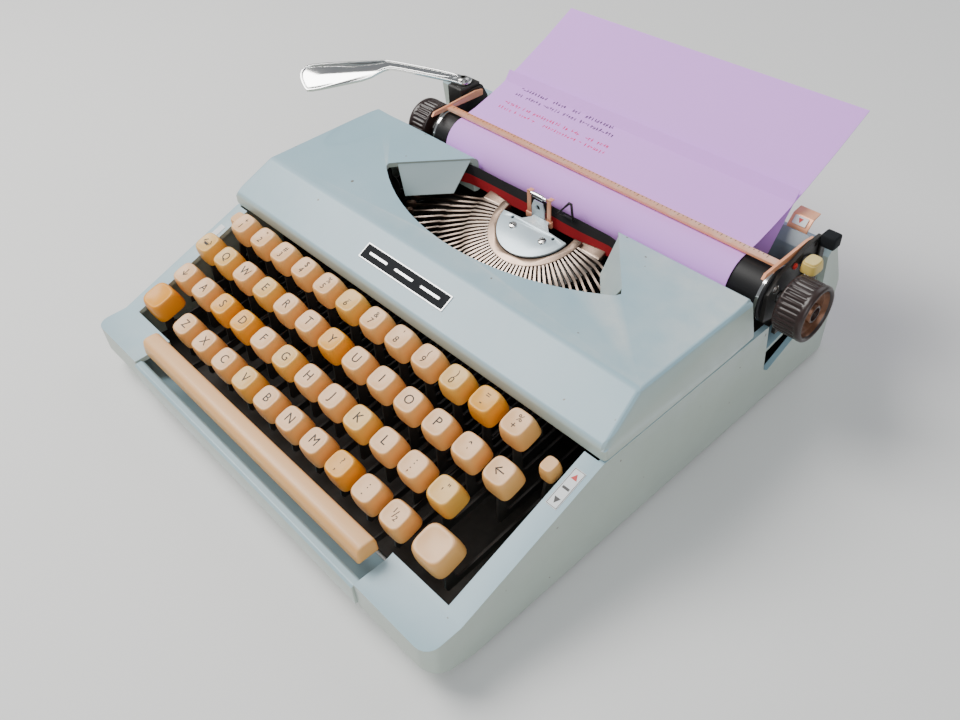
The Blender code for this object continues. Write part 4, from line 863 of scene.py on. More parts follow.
# %% Space bar: a long cap with a rounded back, on two arms
low, high = node_span("space_bar")
bar_front, bar_depth, bar_top = low.y, 0.0110, high.z
section = [(0.0006, -0.0095), (0.0, -0.0088), (0.0004, -0.0040), (0.0010, -0.0014),
           (0.0020, -0.0004), (0.0036, 0.0), (bar_depth - 0.0036, 0.0), (bar_depth - 0.0020, -0.0004),
           (bar_depth - 0.0010, -0.0014), (bar_depth - 0.0003, -0.0040), (bar_depth, -0.0088),
           (bar_depth - 0.0006, -0.0095)]
bm = side_slab([(bar_front + y, bar_top + z) for y, z in section], low.x, high.x)
bmesh.ops.dissolve_limit(bm, angle_limit=math.radians(1), verts=bm.verts, edges=bm.edges)
ends = [edge for edge in bm.edges if len(edge.link_faces) == 2
        and edge.calc_face_angle(0.0) > math.radians(70)
        and abs(edge.verts[0].co.x - edge.verts[1].co.x) < 0.0001]
bmesh.ops.bevel(bm, geom=ends, offset=0.0012, segments=4, profile=0.5, affect="EDGES")
space = add_piece("space_bar_cap", bm, cream_key, "space_bar", 50.0)
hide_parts("space_bar")
HOME_LEVER_ROOM = 0.00075   # half a lever's thickness with its clearance
arm_places = [(cap_top(home).x + HOME_LEVER_ROOM + cap_top(lower).x - CAP_WIDTH / 2) / 2
              for home, lower in (("key_s", "key_x"), ("key_colon", "key_slash"))]
for side, x in zip(("left", "right"), arm_places):
    arm = [*hub, (0.034, lever_line(0.034) + 0.0018), (bar_front + 0.009, 0.0243),
           (bar_front + 0.0080, bar_top - 0.0070), (bar_front + 0.0040, bar_top - 0.0070),
           (bar_front + 0.0040, 0.0212), (0.034, lever_line(0.034) - 0.0023)]
    bm = side_slab(arm, x - 0.00045, x + 0.00045, 0.00015, 1, [rod_hole])
    add_piece(f"space_arm_{side}", bm, black_enamel, "space_bar")
print("space bar from", round(low.x, 4), "to", round(high.x, 4))

# %% Shift keys on one bail
low, high = node_span("shift_bail")
SHIFT_WIDTH = 0.0190
SHIFT_DEPTH = SHIFT_WIDTH * 0.95
shift_y = low.y + SHIFT_DEPTH / 2 * math.cos(CAP_TILT) - CAP_LEANS_BACK
shift_z = high.z - SHIFT_DEPTH * REAR_EDGE_RISE
shift_tops = [Vector((low.x + SHIFT_WIDTH / 2, shift_y, shift_z)),
              Vector((high.x - SHIFT_WIDTH / 2, shift_y, shift_z))]
bm = bmesh.new()
for number, top in enumerate(shift_tops):
    key_cap(bm, top, [], SHIFT_WIDTH, SHIFT_DEPTH, finish=number, dish=0.0008)
shift_caps = add_piece("shift_key_caps", bm, [orange_key, cream_key], "shift",
                       40.0)
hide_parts("shift_bail")
LEFT_ARM_STEPS, RIGHT_ARM_STEPS = 0.1875, 11.853    # from the first number key, in key steps
CROSS_ROD = (0.152, 0.020)                          # middle of the rod that joins the arms, Y and Z
LOCK_PIVOT = (0.095, 0.030)
arm_left = first.x - LEFT_ARM_STEPS * number_step
arm_right = first.x + RIGHT_ARM_STEPS * number_step
bm = bmesh.new()
for x, top in zip((arm_left, arm_right), shift_tops):
    merge(bm, lever_bmesh(x, top))
    merge(bm, eased_box((x - 0.0008, CROSS_ROD[0] - 0.0023, CROSS_ROD[1] - 0.0010),
                        (x + 0.0008, CROSS_ROD[0] + 0.0023, lever_line(CROSS_ROD[0])), 0.0002, 1))
merge(bm, turned_rod(case(arm_left - 0.0004, *CROSS_ROD), case(arm_right + 0.0004, *CROSS_ROD),
                     0.0020))
lock_x = (arm_left + first.x) / 2
merge(bm, turned_rod(case(arm_left, *LOCK_PIVOT), case(lock_x + 0.0008, *LOCK_PIVOT), 0.0010,
                     0.0002, 12))
add_piece("shift_bail_steel", bm, black_enamel, "shift")
print("shift keys", [[round(v, 4) for v in top] for top in shift_tops])

# %% Shift lock, margin release and backspace
upper_step = cap_top("key_w").x - cap_top("key_q").x
for node, body, top, marks, finish in (
        ("margin_release_key", "margin_release", cap_top("key_q") - Vector((upper_step, 0, 0)),
         [("↔", 0.0066, 0, 0)], part_yellow_key),
        ("backspace_key", "backspace", cap_top("key_accent") + Vector((upper_step, 0, 0)),
         [("←", 0.0070, 0, 0)], cream_key)):
    bm = bmesh.new()
    key_cap(bm, top, marks)
    cap = add_piece(f"{node}_cap", bm, [finish, legend_ink], body, 40.0)
    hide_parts(node)
    add_lever(f"{node}_lever", top, body)
lock_top = cap_top("key_a") - Vector((upper_step, 0, 0))
bm = bmesh.new()
key_cap(bm, lock_top, [("↓", 0.0066, 0, 0)])
lock = add_piece("shift_lock_cap", bm, [cream_key, legend_ink], "shift_lock", 40.0)
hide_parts("shift_lock_key")
lock_ring = circle(LOCK_PIVOT, 0.0043, 12, -0.55 * math.pi, 1.1 * math.pi)
stem_top = lock_top.z - CAP_TALL + CAP_SOCKET
bm = side_slab([*lock_ring, (lock_top.y + 0.003, 0.0358), (lock_top.y + 0.002, stem_top),
                (lock_top.y - 0.002, stem_top), (lock_top.y - 0.003, 0.0317)],
               lock_x - 0.0005, lock_x + 0.0005, 0.00015, 1, [circle(LOCK_PIVOT, 0.0015, 10)])
add_piece("shift_lock_lever", bm, black_enamel, "shift_lock")
print("side keys at", [round(v, 4) for v in lock_top])

# %% [markdown]
# ## Two little levers beside the keys
# The ribbon colour is set by a small cream lever at the right, and the touch by one at the left.
# They stand up out of the well like half-sized caps, so the cap maker is used again, smaller
# and without a dish, on a thin stem.

# %% Colour selector and touch lever
SELECTOR_AXIS_Z = 0.036
for node in ("colour_selector", "touch_lever"):
    low, high = node_span(node)
    middle = Vector(((low.x + high.x) / 2, (low.y + high.y) / 2, high.z))
    bm = cap_bmesh(0.0074, 0.0086, 0.0082, 28, 0.0001, 0.86)
    bmesh.ops.transform(bm, matrix=Matrix.Translation(case(middle.x, middle.y, middle.z - 0.0004))
                        @ Matrix.Rotation(math.radians(10), 4, "X"), verts=bm.verts)
    tip = add_piece(f"{node}_tip", bm, cream_key, node, 40.0)
    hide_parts(node)
    axis = (middle.y, SELECTOR_AXIS_Z)
    stem = [*circle(axis, 0.0048, 14, 0.97 * math.pi, 1.06 * math.pi),
            (middle.y + 0.0014, high.z - 0.006), (middle.y - 0.0014, high.z - 0.006)]
    bm = side_slab(stem, middle.x - 0.0008, middle.x + 0.0008, 0.0002, 1,
                   [circle(axis, 0.0016, 12)])
    add_piece(f"{node}_stem", bm, black_enamel, node)
    print(node, [round(v, 4) for v in middle])

# %% [markdown]
# ## Type basket
# Under the opening lie forty-four typebars, fanned out from a half ring with a slot for each
# bar. Every bar leaves its slot, bends a little where it passes the joint, and ends in a slug
# with two raised letters. One bar could be modelled and copied round, but the real ones bend
# towards the sides so that their slugs lie in one arc, so each bar follows its own short line.

# %% Basket frame: it slopes down towards the keyboard
def node_middle(name):
    """The middle of a CAD node in case coordinates."""
    low, high = node_span(name)
    return (low + high) / 2


BASKET_X = node_middle("typebars").x
GUIDE_X, GUIDE_Y = node_middle("ribbon_vibrator").xy
BASKET = (Matrix.Translation(case(BASKET_X, 0.2015, 0.0582))
          @ Matrix.Rotation(math.radians(19), 4, "X"))
BARS = 44
SLOT_INNER, SLOT_OUTER = 0.0285, 0.0445
FAN_START, FAN_END = math.radians(184), math.radians(356)
fan = [FAN_START + (FAN_END - FAN_START) * n / (BARS - 1) for n in range(BARS)]


def in_basket(bm, lift=0.0):
    """Carry a piece made flat about the origin into the sloping basket."""
    bmesh.ops.transform(bm, matrix=BASKET @ Matrix.Translation((0, 0, lift)), verts=bm.verts)
    return bm


def strip(points, wide, high):
    """A rectangular strip through points (x, y, z), upright, as wide as given at each point."""
    bm = bmesh.new()
    loops = []
    for number, point in enumerate(points):
        before = Vector(points[max(number - 1, 0)])
        after = Vector(points[min(number + 1, len(points) - 1)])
        along = (after - before).normalized()
        across = Vector((-along.y, along.x, 0)).normalized() * wide[number] / 2
        up = Vector((0, 0, high[number] / 2))
        middle = Vector(point)
        loops.append([bm.verts.new(middle + a * across + u * up)
                      for a, u in ((-1, -1), (1, -1), (1, 1), (-1, 1))])
    for low, upper in zip(loops, loops[1:]):
        for n in range(4):
            m = (n + 1) % 4
            bm.faces.new((low[n], low[m], upper[m], upper[n]))
    bm.faces.new(loops[0])
    bm.faces.new(loops[-1][::-1])
    return bm


def swung(start, angle, reach, z):
    """A point at a height, some way out from another point in a direction of the basket."""
    return (start[0] + reach * math.cos(angle), start[1] + reach * math.sin(angle), z)


def polar(reach, angle, z):
    """A point at a height, some way out from the basket's middle."""
    return swung((0.0, 0.0), angle, reach, z)


# %% Typebars and their slugs
SLUG_LETTERS = (0.0004, 0.0028)     # where each of the two letters starts on its slug
bars, slugs = bmesh.new(), bmesh.new()
for angle in fan:
    side = math.pi if angle < 1.5 * math.pi else 2 * math.pi
    away = abs(angle - side) / (math.pi / 2)
    outer = side + math.copysign(math.radians(16 + 72 * away), angle - side)
    reach = 0.040 - 0.014 * away
    joint = polar(SLOT_OUTER + 0.0006, angle, 0.0036)
    line = [polar(SLOT_INNER + 0.0008, angle, 0.0056), polar(0.0365, angle, 0.0052),
            polar(SLOT_OUTER - 0.0012, angle, 0.0044), joint, swung(joint, outer, 0.0150, 0.0034),
            swung(joint, outer, 0.0162, 0.0040), swung(joint, outer, reach, 0.0034)]
    bar = strip(line, [0.0010, 0.00125, 0.00140, 0.00115, 0.00110, 0.0010, 0.0010],
                [0.0024, 0.0026, 0.0026, 0.0022, 0.0020, 0.0022, 0.0018])
    add_bevel(bar, 0.00016, 1, 40.0)
    merge(bars, in_basket(bar))
    slug = strip([swung(joint, outer, reach - 0.0006, 0.0040), swung(joint, outer, reach, 0.0042),
                  swung(joint, outer, reach + 0.0050, 0.0042),
                  swung(joint, outer, reach + 0.0057, 0.0040)],
                 [0.0014, 0.0022, 0.0022, 0.0015], [0.0024, 0.0036, 0.0036, 0.0024])
    add_bevel(slug, 0.0002, 1, 40.0)
    for further in SLUG_LETTERS:
        merge(slug, strip([swung(joint, outer, reach + further, 0.0063),
                           swung(joint, outer, reach + further + 0.0015, 0.0063)],
                          [0.0013, 0.0011], [0.0008, 0.0008]))
    merge(slugs, in_basket(slug))
bars_piece = add_piece("typebar_fan", bars, bar_steel, "case")
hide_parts("typebars")
add_piece("type_slugs", slugs, slug_steel, "case")
print(BARS, "bars and slugs")

# %% The half ring with its slots, and the smooth band inside it
RING_INNER = 0.0243
CHEEK_SWEEP = math.radians(9)
outer_arc = circle((0, 0), SLOT_INNER + 0.0010, 61, math.radians(176), math.radians(188))
inner_arc = circle((0, 0), RING_INNER, 61, math.radians(364), -math.radians(188))
band = in_basket(slab(outer_arc + inner_arc, 0.0064, 0.0005, 2), 0.0040)
ring = add_piece("segment_band", band, bar_steel, "case")
bm = bmesh.new()
for n in range(BARS - 1):
    middle = (fan[n] + fan[n + 1]) / 2
    tooth = strip([polar(SLOT_INNER, middle, 0.0026), polar(SLOT_OUTER - 0.0010, middle, 0.0016)],
                  [0.00045, 0.0011], [0.0042, 0.0034])
    merge(bm, in_basket(tooth))
add_piece("segment_teeth", bm, black_enamel, "case")
under = circle((0, 0), SLOT_OUTER, 49, math.radians(180), math.pi)
under += circle((0, 0), RING_INNER, 49, math.radians(360), -math.pi)
add_piece("segment_bed", in_basket(slab(under, 0.0024, 0.0003, 1), -0.0002), black_enamel, "case")
for name, start in (("left", math.radians(173.5)), ("right", math.radians(357.5))):
    cheek = circle((0, 0), SLOT_OUTER - 0.001, 8, start, CHEEK_SWEEP)
    cheek += circle((0, 0), SLOT_INNER, 8, start + CHEEK_SWEEP, -CHEEK_SWEEP)
    add_piece(f"segment_cheek_{name}", in_basket(slab(cheek, 0.0056, 0.0005, 2), 0.0026),
              bar_steel, "case")
print("segment band", len(ring.data.polygons), "faces")

# %% [markdown]
# ## Plate over the segment
# A pale D-shaped plate covers the middle of the half ring. It is held by two slotted screws and
# has two small holes beside them, and a tongue rises from it between the ribbon guides. It is
# flat stamped work, so an outline with holes is all that it needs; the screws are turned.

# %% Plate, screws and tongue
plate_arc = circle((0, -0.0006), 0.0235, 47, math.radians(188), math.radians(164))
outline = [*plate_arc, (0.0100, -0.0030), (0.0060, 0.0006), (0.0056, 0.0022), (-0.0056, 0.0022),
           (-0.0060, 0.0006), (-0.0100, -0.0030)]
PLATE_LIFT = 0.0078
screw_spots = [(-0.0110, -0.0095), (0.0110, -0.0095)]
small_holes = [circle(place, 0.0011, 14) for place in ((-0.0152, -0.0052), (0.0152, -0.0052))]
bm = in_basket(slab(outline, 0.0012, 0.0002, 2, small_holes), PLATE_LIFT)
add_piece("segment_plate", bm, plate_blue, "case")
bm = bmesh.new()
for x, y in screw_spots:
    head = turned([(0, 0), (0, 0.0023), (0.0005, 0.0023), (0.0010, 0.0019), (0.0012, 0.0010),
                   (0.0012, 0)], 28, (0, 0, 0), UPWARD)
    bmesh.ops.translate(head, vec=(x, y, 0), verts=head.verts)
    merge(bm, in_basket(head, PLATE_LIFT + 0.0005))
add_piece("plate_screws", bm, screw_steel, "case")
# painted shade: the screw slots are not cut; a thin black block on each head stands in for the shade inside
# the slot
bm = bmesh.new()
for x, y in screw_spots:
    slot_shade_block = flat_block(0.0040, 0.0006, 0.00014)
    turn = Matrix.Rotation(0.5 + x * 40, 3, "Z")
    bmesh.ops.rotate(slot_shade_block, matrix=turn, verts=slot_shade_block.verts)
    bmesh.ops.translate(slot_shade_block, vec=(x, y, PLATE_LIFT + 0.0018), verts=slot_shade_block.verts)
    merge(bm, in_basket(slot_shade_block))
add_piece("plate_screw_slot_shade", bm, badge_black, "case")
tongue_low, tongue_high = 0.0640, node_span("ribbon_vibrator")[1].z - 0.0042
outline = [(-0.0046, tongue_low), (0.0046, tongue_low), (0.0046, tongue_high - 0.004),
           (0.0030, tongue_high), (-0.0030, tongue_high), (-0.0046, tongue_high - 0.004)]
hole = circle((0, tongue_high - 0.0036), 0.0015, 20)
bm = slab(outline, 0.0009, 0.0002, 2, [hole])
bmesh.ops.transform(bm, matrix=Matrix.Translation(case(GUIDE_X, GUIDE_Y - 0.0014, 0))
                    @ Matrix.Rotation(math.pi / 2, 4, "X"), verts=bm.verts)
add_piece("plate_tongue", bm, plate_blue, "case")
print("plate and tongue, tongue to", round(tongue_high, 4))

# %% [markdown]
# ## Ribbon guides and line finder
# Two bright forks hold the ribbon on either side of the typing point and lift it for every
# letter, a small roller joins them, and a black wire triangle stands at their right to show
# the line being typed. The forks are bent strips, the wire is a bent rod.

# %% Forks, roller and wire triangle
low, high = node_span("ribbon_vibrator")
bm = bmesh.new()


def guide_part(x, half_width, y_low, y_high, z_low, z_high, width=0.0003, segments=2):
    """A bent strip of the guides, given from the guides' own middle in Y."""
    merge(bm, eased_box((x - half_width, GUIDE_Y + y_low, z_low),
                        (x + half_width, GUIDE_Y + y_high, z_high), width, segments))


foot_z = low.z + 0.0225
for side in (-1, 1):
    x = GUIDE_X + side * 0.0074
    guide_part(x, 0.0014, -0.0012, -0.0004, low.z + 0.024, high.z)
    guide_part(x, 0.0014, -0.0012, 0.0022, high.z - 0.0012, high.z - 0.0004)
    guide_part(x, 0.0022, -0.0016, 0.0, foot_z, low.z + 0.0262, 0.0004)
guide_part(GUIDE_X, 0.0094, -0.0004, 0.0004, foot_z, low.z + 0.0265, segments=1)
guide_part(GUIDE_X, 0.0030, -0.0004, 0.0004, low.z, low.z + 0.0240, segments=1)
guides = add_piece("ribbon_guides", bm, copper_scale, "vibrator")
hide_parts("ribbon_vibrator")
bm = bmesh.new()
for half_length, radius in ((0.0058, 0.0010), (0.0035, 0.0016)):
    merge(bm, turned_rod(case(GUIDE_X - half_length, GUIDE_Y - 0.0010, high.z - 0.0010),
                         case(GUIDE_X + half_length, GUIDE_Y - 0.0010, high.z - 0.0010), radius))
add_piece("guide_roller", bm, bright_chrome, "vibrator")


def wire_piece(name, points, radius, finish, body, closed=False):
    """A bent round wire as a curve object."""
    curve = bpy.data.curves.new(name, "CURVE")
    curve.dimensions = "3D"
    curve.bevel_depth = radius
    curve.bevel_resolution = 4
    curve.use_fill_caps = True
    spline = curve.splines.new("POLY")
    spline.points.add(len(points) - 1)
    for item, place in zip(spline.points, points):
        item.co = (*case(*place), 1.0)
    spline.use_cyclic_u = closed
    curve.materials.append(finish)
    thing = bpy.data.objects.new(name, curve)
    bpy.context.scene.collection.objects.link(thing)
    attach(thing, body)
    return thing


finder_x, finder_z = GUIDE_X + 0.0142, node_span("ink_ribbon")[1].z
finder_line = [(finder_x + x, GUIDE_Y - 0.0005, finder_z + z)
               for x, z in ((0.0, -0.001), (0.0072, 0.0078), (0.0088, 0.0078), (0.0100, -0.001))]
wire_piece("line_finder", finder_line, 0.0008, black_enamel, "vibrator", True)
print("guides at", round(GUIDE_Y, 4))

# %% [markdown]
# ## Inked ribbon and spools
# The ribbon is a woven strip, its upper half black and its lower half red, pulled from one spool
# to the other behind the opening. It sags a little between its guides and its edges curl. A
# sheet with a few rows across its width can carry both: each row is a line that dips and leans
# by its own amount, and the colour changes at the middle row.

# %% Ribbon strip
low, high = node_span("ink_ribbon")
reach = high.x - GUIDE_X
back_y = high.y - 0.0002
half_route = [(reach, low.y + 0.0002), (0.074, back_y - 0.0075), (0.066, back_y - 0.0045),
              (0.056, back_y - 0.0018), (0.048, back_y - 0.0006), (0.030, back_y - 0.0001),
              (0.016, back_y - 0.0001), (0.008, back_y - 0.0002)]
route = [(GUIDE_X - x, y) for x, y in half_route] + [(GUIDE_X + x, y) for x, y in half_route[::-1]]
ROWS = 6
THICK = 0.00018
BLACK, RED = 0, 1


def row_colour(row):
    """The upper half of the ribbon is black and the lower half red."""
    return BLACK if row >= ROWS / 2 else RED


bm = bmesh.new()
sheets = []
for layer in (0, 1):
    grid = []
    for number, (x, y) in enumerate(route):
        away = min(1.0, abs(x - GUIDE_X) / 0.05)
        sag = 0.0012 * math.sin(math.pi * away) + 0.0003 * math.sin(number * 1.7)
        column = []
        for row in range(ROWS + 1):
            share = row / ROWS
            curl = 0.0004 * math.sin(math.pi * share) * math.sin(number * 2.1)
            height = low.z + (high.z - low.z) * share - sag * (1 - share * 0.5)
            column.append(bm.verts.new(case(x, y - layer * THICK - curl, height)))
        grid.append(column)
    sheets.append(grid)
for grid in sheets:
    for a, b in zip(grid, grid[1:]):
        for row in range(ROWS):
            face = bm.faces.new((a[row], b[row], b[row + 1], a[row + 1]))
            face.material_index = row_colour(row)
front, back = sheets
for row in (0, ROWS):
    for n in range(len(route) - 1):
        face = bm.faces.new((front[n][row], front[n + 1][row], back[n + 1][row], back[n][row]))
        face.material_index = row_colour(row)
for n in (0, len(route) - 1):
    for row in range(ROWS):
        face = bm.faces.new((front[n][row], front[n][row + 1], back[n][row + 1], back[n][row]))
        face.material_index = row_colour(row)
ribbon = add_piece("ink_ribbon_strip", bm, [black_ribbon, red_ribbon], "case", 60.0)
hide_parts("ink_ribbon")
print("ribbon", round(high.z - low.z, 4), "wide")

# %% Spools: one flange, a wound core and a centre boss
for body in ("spool_left", "spool_right"):
    node = f"ribbon_{body}"
    low, high = node_span(node)
    middle = node_middle(node)
    radius = (high.x - low.x) / 2
    base_point = case(middle.x, middle.y, low.z)
    tall = high.z - low.z
    bm = bmesh.new()
    merge(bm, turned([(0, 0.0031), (0, radius - 0.0003), (0.0003, radius), (0.0007, radius),
                      (0.0010, radius - 0.0003), (0.0010, 0.0031), (0, 0.0031)], 48, base_point,
                     UPWARD))
    merge(bm, turned([(0.0010, 0.0030), (0.0010, 0.0062), (tall - 0.0004, 0.0062), (tall, 0.0056),
                      (tall, 0.0030), (0.0010, 0.0030)], 32, base_point, UPWARD))
    wheel = add_piece(f"{node}_wheel", bm, black_enamel, body)
    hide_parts(node)
    wound = radius * 0.80
    profile = [(0.0013, 0.0064), (0.0013, wound)]
    profile += [(0.0013 + (tall - 0.0030) * n / 8, wound + (0.00012 if n % 2 else 0.0))
                for n in range(1, 8)]
    profile += [(tall - 0.0017, wound), (tall - 0.0017, 0.0064), (0.0013, 0.0064)]
    bm = turned(profile, 48, base_point, UPWARD)
    add_piece(f"{node}_winding", bm, black_ribbon, body)
    print(node, "radius", round(radius, 4))

# %% [markdown]
# ## Inside frame
# Two side plates, cross rails, the comb that guides the levers and the carriage rail are black
# stamped steel, half hidden under the cover. The CAD shape is right, so it only gets enamel with worn
# edges, and the carriage frame also gets eased edges.

# %% Inside frame and carriage frame
dress("mechanism_frame", black_enamel, 0.0, "case")
dress("carriage_frame", black_enamel, 0.0003, "carriage", 1)

# %% [markdown]
# ## Platen and knobs
# The platen is a rubber roller with a bright ring at each end, and it turns with two ribbed
# knobs. A knob is moulded: a smooth flange, some thirty ribs to grip, a thick rim and a hollow
# face. Cutting ribs with Booleans is slow and leaves poor edges, so the knob is a stack of
# rings whose radius waves where the ribs are.

# %% Platen
EDGE_EASE = 0.0006
low, high = node_span("platen")
PLATEN_Y, PLATEN_Z = node_middle("platen").yz
PLATEN_RADIUS = (high.z - low.z) / 2
knob_left, knob_right = node_span("platen_knob_left"), node_span("platen_knob_right")
bail_low, bail_high = node_span("paper_bail")
roll_left, roll_right = bail_low.x + 0.0006, bail_high.x - 0.0006
bm = turned_rod(case(roll_left, PLATEN_Y, PLATEN_Z), case(roll_right, PLATEN_Y, PLATEN_Z),
                PLATEN_RADIUS, EDGE_EASE, 72)
roller = add_piece("platen_roller", bm, platen_black, "platen")
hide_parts("platen")
bm = turned_rod(case(low.x, PLATEN_Y, PLATEN_Z), case(high.x, PLATEN_Y, PLATEN_Z), 0.0029)
for start in (knob_left[1].x - 0.0002, knob_right[0].x - 0.0016):
    merge(bm, turned([(0, 0.0030), (0, 0.0070), (0.0004, 0.0075), (0.0014, 0.0075), (0.0018, 0.0070),
                      (0.0018, 0.0030), (0, 0.0030)], 36, case(start, PLATEN_Y, PLATEN_Z),
                     RIGHTWARD))
add_piece("platen_shaft", bm, screw_steel, "platen")
bm = bmesh.new()
under, over = PLATEN_RADIUS - 0.0006, PLATEN_RADIUS + 0.0001
for start in (roll_left + 0.0012, roll_right - 0.0030):
    merge(bm, turned([(0, under), (0.0002, over), (0.0016, over), (0.0018, under), (0, under)], 72,
                     case(start, PLATEN_Y, PLATEN_Z), RIGHTWARD))
add_piece("platen_end_rings", bm, bright_chrome, "platen")
print("platen radius", round(PLATEN_RADIUS, 4))


# %% Ribbed knobs
RIB_DEPTH = 0.00065


def knob_bmesh(start, outward, length, radius, ribs=34):
    """A moulded knob: flange, ribs, rim and hollow face."""
    sides = ribs * 6
    flange = [(0.0, 0.0034), (0.0, radius - 0.0012), (0.0005, radius - 0.0005),
              (0.0012, radius - 0.0003)]
    ribbed = [(0.0017, radius - 0.0003), (0.0030, radius - 0.0001),
              (length - 0.0040, radius - 0.0001)]
    rim = [(length - 0.0034, radius - 0.0003), (length - 0.0026, radius),
           (length - 0.0010, radius - 0.0001), (length - 0.0003, radius - 0.0006),
           (length, radius - 0.0014), (length - 0.0003, radius - 0.0022)]
    face_rings = [(length - 0.0012, radius - 0.0027), (length - 0.0030, radius - 0.0034),
                  (length - 0.0034, radius - 0.0042), (length - 0.0034, 0.0052),
                  (length - 0.0030, 0.0048), (length - 0.0016, 0.0046), (length - 0.0012, 0.0042),
                  (length - 0.0012, 0.0034)]
    bm = bmesh.new()
    loops = []
    for distance, reach in flange + ribbed + rim + face_rings:
        loop = []
        for n in range(sides):
            angle = 2 * math.pi * n / sides
            dip = RIB_DEPTH * (0.5 - 0.5 * math.cos(ribs * angle)) ** 1.5
            out = reach - (dip if (distance, reach) in ribbed else 0.0)
            loop.append(bm.verts.new(case(start + outward * distance,
                                          PLATEN_Y + out * math.cos(angle),
                                          PLATEN_Z + out * math.sin(angle))))
        loops.append(loop)
    loops.append(loops[0])
    first_face = len(flange + ribbed + rim)
    for number, (one, two) in enumerate(zip(loops, loops[1:])):
        for n in range(sides):
            m = (n + 1) % sides
            face = bm.faces.new((one[n], one[m], two[m], two[n]))
            face.material_index = 1 if first_face <= number <= first_face + 5 else 0
    return bm


for node, start, outward in (("platen_knob_left", knob_left[1].x, -1),
                             ("platen_knob_right", knob_right[0].x, 1)):
    low, high = node_span(node)
    knob = add_piece(f"{node}_ribbed",
                     knob_bmesh(start, outward, high.x - low.x, (high.z - low.z) / 2),
                     [knob_brown, knob_bronze], "platen", 60.0)
    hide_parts(node)
    print(knob.name, len(knob.data.polygons), "faces")

# %% [markdown]
# ## Paper bail with its scale
# The bail is a copper-toned bar that holds the sheet against the platen. Its edge is a ruler
# that the typist reads, with a tick for each letter and a longer one at every fifth. The ticks
# are printed so thinly that a bump would be lost, so they are very flat inked pieces.

# %% Bail bar, arms and ticks
TICK_STEP = 0.00254         # ten letters to the inch
SCALE_MARGIN = 0.006
BAR_OVER_PLATEN = 0.0032    # from the platen's top to the bar's upper face
dress("paper_bail", copper_scale, 0.00025, "paper_bail", 2)
bar_z = PLATEN_Z + PLATEN_RADIUS + BAR_OVER_PLATEN
bm = bmesh.new()
ticks = int((bail_high.x - bail_low.x - 2 * SCALE_MARGIN) / TICK_STEP)
for number in range(ticks):
    x = bail_low.x + SCALE_MARGIN + number * TICK_STEP
    length = 0.0020 if number % 5 == 0 else 0.0011
    tick = flat_block(0.00028, length, 0.00006)
    bmesh.ops.translate(tick, vec=case(x, PLATEN_Y + 0.0023 - length / 2, bar_z + 0.00002),
                        verts=tick.verts)
    merge(bm, tick)
add_piece("scale_ticks", bm, legend_ink, "paper_bail")
print(ticks, "ticks")

# %% [markdown]
# ## Return lever
# The chrome lever at the left is a stamped, polished arm that widens to a paddle for the hand.
# Its edge is turned up for stiffness. The arm follows a smooth outline, and a thin wire laid
# just inside that outline reads as the turned edge.

# %% Lever arm, border and pivot screw
low, high = node_span("return_lever")
root_x, root_y, root_z = high.x - 0.0062, high.y - 0.0045, low.z
ARM_THICK = 0.0016


def smooth_closed(points, rounds=2):
    """Corner cutting: each round softens a closed outline."""
    for _ in range(rounds):
        softer = []
        for (ax, ay), (bx, by) in zip(points, points[1:] + points[:1]):
            softer += [(ax * 0.75 + bx * 0.25, ay * 0.75 + by * 0.25),
                       (ax * 0.25 + bx * 0.75, ay * 0.25 + by * 0.75)]
        points = softer
    return points


PADDLE_AXIS = Vector((-0.0300, -0.0255)).normalized()
PADDLE_START = Vector((-0.0540, -0.0122))
PADDLE_SLOPE = 0.62         # how steeply the paddle leans


def paddle_drop(x, y):
    """How far the paddle's surface is turned down, at a place from the lever's pivot."""
    from_start = Vector((x, y)) - PADDLE_START
    along = from_start.dot(PADDLE_AXIS)
    across = from_start.x * -PADDLE_AXIS.y + from_start.y * PADDLE_AXIS.x
    share = min(1.0, max(0.0, along / 0.014))
    return PADDLE_SLOPE * share * max(0.0, across)


def twist_paddle(bm):
    """Turn the paddle's front edge down, as it is on the stamped lever."""
    for vert in bm.verts:
        place = vert.co - CASE_MIDDLE
        vert.co.z -= paddle_drop(place.x - root_x, place.y - root_y)


arm_shape = [(0.0052, 0.0046), (-0.0030, 0.0046), (-0.0540, -0.0122), (-0.0600, -0.0160),
             (-0.0905, -0.0450), (-0.0948, -0.0505), (-0.0950, -0.0545), (-0.0925, -0.0580),
             (-0.0850, -0.0606), (-0.0815, -0.0600), (-0.0560, -0.0270), (-0.0480, -0.0190),
             (-0.0020, -0.0046), (0.0052, -0.0046)]
edge_shape = [(-0.0040, 0.0034), (-0.0540, -0.0132), (-0.0592, -0.0168), (-0.0895, -0.0457),
              (-0.0937, -0.0508), (-0.0938, -0.0543), (-0.0918, -0.0570), (-0.0852, -0.0594),
              (-0.0822, -0.0590), (-0.0568, -0.0262), (-0.0488, -0.0180), (-0.0040, -0.0036)]
outline = [(root_x + x, root_y + y) for x, y in smooth_closed(arm_shape)]
bm = plan_slab(outline, root_z, root_z + ARM_THICK, 0.0004, 3,
               [circle((root_x, root_y), 0.0019, 20)])
twist_paddle(bm)
lever = add_piece("return_lever_arm", bm, bright_chrome, "return_lever")
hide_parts("return_lever")
edge_line = [(root_x + x, root_y + y, root_z + ARM_THICK + 0.0001 - paddle_drop(x, y))
             for x, y in smooth_closed(edge_shape)]
wire_piece("return_lever_edge", edge_line, 0.00055, bright_chrome, "return_lever", True)
bm = turned([(0, 0.0021), (0, 0.0034), (0.0006, 0.0034), (0.0012, 0.0026), (0.0014, 0.0012),
             (0.0014, 0)], 28, case(root_x, root_y, root_z + ARM_THICK + 0.0002), UPWARD)
add_piece("return_lever_screw", bm, screw_steel, "carriage")
print("lever root", round(root_x, 4), round(root_y, 4))

